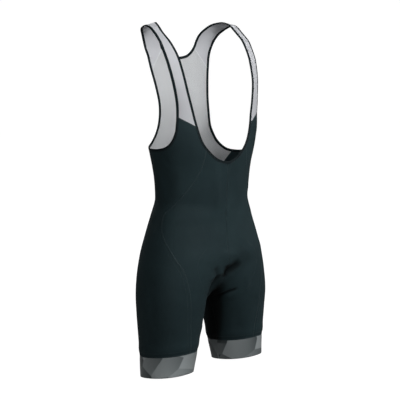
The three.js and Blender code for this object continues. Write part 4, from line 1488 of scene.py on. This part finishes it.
@dataclass
class Panels:
    """The black stretch panels of one side: front, side and seat."""

    half: Half
    thickness: float = 1.4
    front_flat: tuple[float, float] = (0.20, 0.54)
    front_area: float = 0.069
    side_flat: tuple[float, float] = (0.27, 0.63)
    side_area: float = 0.100
    seat_flat: tuple[float, float] = (0.20, 0.46)
    seat_area: float = 0.061
    topstitch_offset: float = 9.0
    topstitch_from: float = -560.0
    topstitch_pitch: float = 3.0
    pad_stations: int = 60
    pad_lift: float = 0.02
    pad_front: Sequence[tuple[float, float]] = (
        (-556, 16), (-572, 23), (-592, 24.5), (-611, 20), (-634, 12), (-653, 3), (-674, -8), (-694, -24))
    pad_back: Sequence[tuple[float, float]] = (
        (-560, 196), (-590, 186), (-620, 184), (-650, 190), (-675, 204), (-692, 222))

    def build(self, sewing: Sewing) -> list[Piece]:
        """Build the panels with their seams.

        Args:
            sewing: Makes the cloth and the seams.

        Returns:
            The pieces.
        """
        half, word, shop = self.half, self.half.side.word, sewing.shop
        grids = {
            "front": [half.front_panel],
            "side": [half.side_panel, half.strap_foot],
            "seat": [half.seat_panel],
        }
        front, side, seat = (
            shop.cloth(f"{name}_cloth_{word}", parts, sewing.cloths.knit, "black_knit", self.thickness,
                       f"{name}_panel_{word}")
            for name, parts in grids.items()
        )
        seam = half.front_panel[:, -1]
        beside = self._topstitch(shop, seam)
        front_seams = [
            *sewing.flat_seam(f"front_{word}", seam),
            sewing.row(f"topstitch_{word}", beside),
            self._pad_row(sewing, f"pad_front_{word}_stitches", self.pad_front),
        ]
        side_seams = sewing.flat_seam(f"rear_{word}", half.seat_panel[:, 0], look=Look.QUIET)
        seat_seams = [self._pad_row(sewing, f"pad_back_{word}_stitches", self.pad_back)]
        return [
            *declared(front, front_seams),
            *declared(side, side_seams),
            *declared(seat, seat_seams),
        ]

    def _topstitch(self, shop: Workshop, seam: Points) -> Points:
        """The second line of stitching beside the front seam, on the thigh."""
        points, along = shop.spaced(seam[seam[:, 2] < self.topstitch_from], self.topstitch_pitch)
        return shop.beside(points, along, self.topstitch_offset * self.half.side.value)

    def _pad_row(self, sewing: Sewing, name: str, places: Sequence[tuple[float, float]]) -> Piece:
        """The row of stitches that holds the seat pad's edge inside."""
        fine = np.linspace(0, len(places) - 1, self.pad_stations)
        rows = [(step, *place) for step, place in enumerate(places)]
        levels = Table("step level angle", rows).read(fine)
        line = self.half.placed(self.half.form.ring(levels["level"], levels["angle"]))
        return sewing.row(name, line, look=Look.QUIET, lift=self.pad_lift)


@dataclass
class CentreSeams:
    """The seams where the two sides meet: centre front, centre back and the inseams."""

    right: Half
    left: Half

    def build(self, sewing: Sewing) -> list[Piece]:
        """Build the seams.

        Args:
            sewing: Makes the seams.

        Returns:
            The pieces.
        """
        crotch = self.right.form.crotch
        front, back = self.right.front_panel[:, 0], self.right.seat_panel[:, -1]
        rise = np.vstack([front[front[:, 2] > crotch], back[back[:, 2] > crotch][::-1]])
        pieces = sewing.flat_seam("centre", rise, look=Look.QUIET)
        for half in (self.right, self.left):
            column = half.front_panel[:, 0]
            inseam = column[column[:, 2] < crotch]
            pieces += sewing.flat_seam(f"inseam_{half.side.word}", inseam, look=Look.QUIET)
        return pieces


@dataclass
class Straps:
    """The pale strap of one side."""

    half: Half
    thickness: float = 1.2
    flat: tuple[float, float] = (0.045, 0.47)
    area: float = 0.0135

    def build(self, sewing: Sewing) -> list[Piece]:
        """Build the strap with its two seams.

        Args:
            sewing: Makes the cloth and the seams.

        Returns:
            The pieces.
        """
        grid, word = self.half.strap, self.half.side.word
        strap = sewing.shop.cloth(f"strap_cloth_{word}", [grid], sewing.cloths.strap, "strap_knit",
                                  self.thickness, f"strap_{word}")
        seams = sewing.flat_seam(f"strap_front_{word}", grid[0])
        seams += sewing.flat_seam(f"strap_back_{word}", grid[-1], "strap_knit", Look.PALE, self.thickness)
        return declared(strap, seams)


@dataclass
class BackMesh:
    """The mesh upper back, one piece from armhole to armhole."""

    right: Half
    left: Half
    thickness: float = 1.2
    flat: tuple[float, float] = (0.36, 0.38)
    area: float = 0.069

    def build(self, sewing: Sewing) -> list[Piece]:
        """Build the mesh with its lower seam.

        Args:
            sewing: Makes the cloth and the seams.

        Returns:
            The pieces.
        """
        right, left = self.right.mesh_half, self.left.mesh_half
        mesh = sewing.shop.cloth("back_mesh_cloth", [right, left], sewing.cloths.mesh, "mesh_knit",
                                 self.thickness, "back_mesh")
        low = np.vstack([right[-1][::-1], left[-1][1:]])
        seams = sewing.flat_seam("mesh_lower", low, "mesh_knit", inner=self.thickness)
        return declared(mesh, seams)


@dataclass
class LegBand:
    """The elastic leg band of one side."""

    half: Half
    thickness: float = 1.6
    flat: tuple[float, float] = (0.44, 0.056)
    area: float = 0.0245
    welt_above: float = 10.0
    hem_row: float = 3.0
    stations: int = 181

    def build(self, sewing: Sewing) -> list[Piece]:
        """Build the band, its seam and the welt above it.

        Args:
            sewing: Makes the cloth and the seams.

        Returns:
            The pieces.
        """
        grid, word = self.half.leg_band, self.half.side.word
        band = sewing.shop.cloth(f"leg_band_cloth_{word}", [grid], sewing.cloths.bands, "band_elastic",
                                 self.thickness, f"leg_band_{word}")
        hem = self._above(self.hem_row - self.half.cut.band_height)
        return declared(band, [
            *sewing.flat_seam(f"band_{word}", grid[0], "band_elastic"),
            sewing.hem_welt(f"band_welt_{word}", self._above(self.welt_above)),
            sewing.row(f"band_hem_{word}", hem, "band_elastic"),
        ])

    def _above(self, rise: float) -> Points:
        """A level line at a height above the band's seam."""
        cut, turn = self.half.cut, np.linspace(-90, 270, self.stations)
        level = np.full(turn.shape, cut.band_top + rise)
        return self.half.placed(self.half.form.ring(level, turn, cut.hem_tilt))


@dataclass
class Bindings:
    """The folded tapes round the neck and the armholes."""

    right: Half
    left: Half
    out: float = 0.5
    deep: float = 2.5
    stitch_row: float = 5.4
    stitch_lift: float = 0.04
    stations: int = 360
    neck_flat: tuple[float, float] = (0.0105, 1.24)
    arm_flat: tuple[float, float] = (0.0105, 0.82)

    def build(self, sewing: Sewing) -> list[Piece]:
        """Build the three tapes with their edge stitching.

        Args:
            sewing: Makes the cloth and the seams.

        Returns:
            The pieces.
        """
        shop, pieces = sewing.shop, []
        jobs = [("neck", "neck_binding", self.left.neck, self.left, self.neck_flat)]
        for half in (self.right, self.left):
            word = half.side.word
            jobs.append((f"armhole_{word}", f"armhole_binding_{word}", half.arm, half, self.arm_flat))
        for name, node, edge, half, flat in jobs:
            t = np.linspace(0, 1, shop.tape_sections + 1)
            placed = tuple(half.placed(value) for value in edge.frame(t))
            tape = shop.tape(f"{name}_tape", placed, sewing.cloths.tape, "binding", node,
                             (half.cut.binding_width, self.out, self.deep))
            point, across = edge.frame(np.linspace(0, 1, self.stations))
            row = shop.form.snap(half.placed(point + across * self.stitch_row))
            stitches = sewing.row(f"{name}_edge_stitches", row, "binding", Look.QUIET,
                                  self.out + self.stitch_lift)
            pieces += declared(tape, [stitches])
        return pieces


@dataclass(frozen=True)
class Lamp:
    """A square soft lamp, by its angles, its distance and size in metres, and its power."""

    name: str
    azimuth: float
    elevation: float
    distance: float
    size: float
    power: float


@dataclass
class Studio:
    """The pale room, its soft lamps and the camera."""

    azimuth: float = -40.46
    elevation: float = 9.63
    distance: float = 2.699
    target: Vector = field(default_factory=lambda: Vector((-0.0072, -0.045, -0.4527)))
    lens: float = 94.04
    sensor: float = 36.0
    floor_drop: float = 0.004
    room: float = 6.0
    white: RoomFinish = RoomFinish("room_white", (0.12, 0.12, 0.12), (1, 1, 1))
    lamps: Sequence[Lamp] = (
        Lamp("key", 6, 38, 2.6, 1.3, 45),
        Lamp("side", -58, 12, 3.0, 1.0, 15),
        Lamp("fill", 62, 22, 3.0, 1.4, 16),
        Lamp("top", 10, 82, 2.6, 1.6, 5),
        Lamp("back", 165, 30, 3.0, 1.6, 30),
    )

    def aimed(self, name: str, data: bpy.types.ID, spot: "Lamp | Studio") -> bpy.types.Object:
        """A camera or lamp hung where its angles and distance say, and turned to the target."""
        a, e = math.radians(spot.azimuth), math.radians(spot.elevation)
        back = Vector((math.sin(a) * math.cos(e), -math.cos(a) * math.cos(e), math.sin(e)))
        item = bpy.data.objects.new(name, data)
        item.location = self.target + back * spot.distance
        item.rotation_euler = (item.location - self.target).to_track_quat("Z", "Y").to_euler()
        bpy.context.scene.collection.objects.link(item)
        return item

    def build(self) -> None:
        """Build the floor and backdrop, hang the lamps and set the camera."""
        low = Vector(CAD_BOX[0])
        bm = bmesh.new()
        bmesh.ops.create_cube(bm, size=2 * self.room)
        bmesh.ops.translate(bm, verts=bm.verts, vec=(0, 0, low.z - self.floor_drop + self.room))
        bmesh.ops.reverse_faces(bm, faces=bm.faces)
        mesh = bpy.data.meshes.new("room")
        bm.to_mesh(mesh)
        bm.free()
        mesh.materials.append(self.white.build())
        room = bpy.data.objects.new("room", mesh)
        bpy.context.scene.collection.objects.link(room)
        for lamp in self.lamps:
            light = bpy.data.lights.new(lamp.name, "AREA")
            light.shape, light.size, light.energy = "SQUARE", lamp.size, lamp.power
            self.aimed(lamp.name, light, lamp)
        view = bpy.data.cameras.new("camera")
        view.lens, view.sensor_width = self.lens, self.sensor
        bpy.context.scene.camera = self.aimed("camera", view, self)
        bpy.context.scene.view_settings.view_transform = "Standard"


def report(group: str, pieces: Sequence[Piece]) -> None:
    """Log the pieces of a group."""
    for piece in pieces:
        log.info("%s: %s, %d faces", group, piece.name, len(piece.data.polygons))


def main() -> None:
    """Build the garment from its panels out, then the studio."""
    logging.basicConfig(level=logging.INFO, format="%(name)s %(message)s")
    form, cut, grain = Form(), Cut(), Grain()
    right, left = (Half(form, cut, grain, side) for side in Side)
    sewing = Sewing(Workshop(form, Relief(form, cut)), Cloths())
    for half in (right, left):
        for part in (Panels, Straps, LegBand):
            report(f"{part.__name__} {half.side.word}", part(half).build(sewing))
    for part in (BackMesh, CentreSeams, Bindings):
        report(part.__name__, part(right, left).build(sewing))
    Studio().build()


if __name__ == "__main__":
    main()
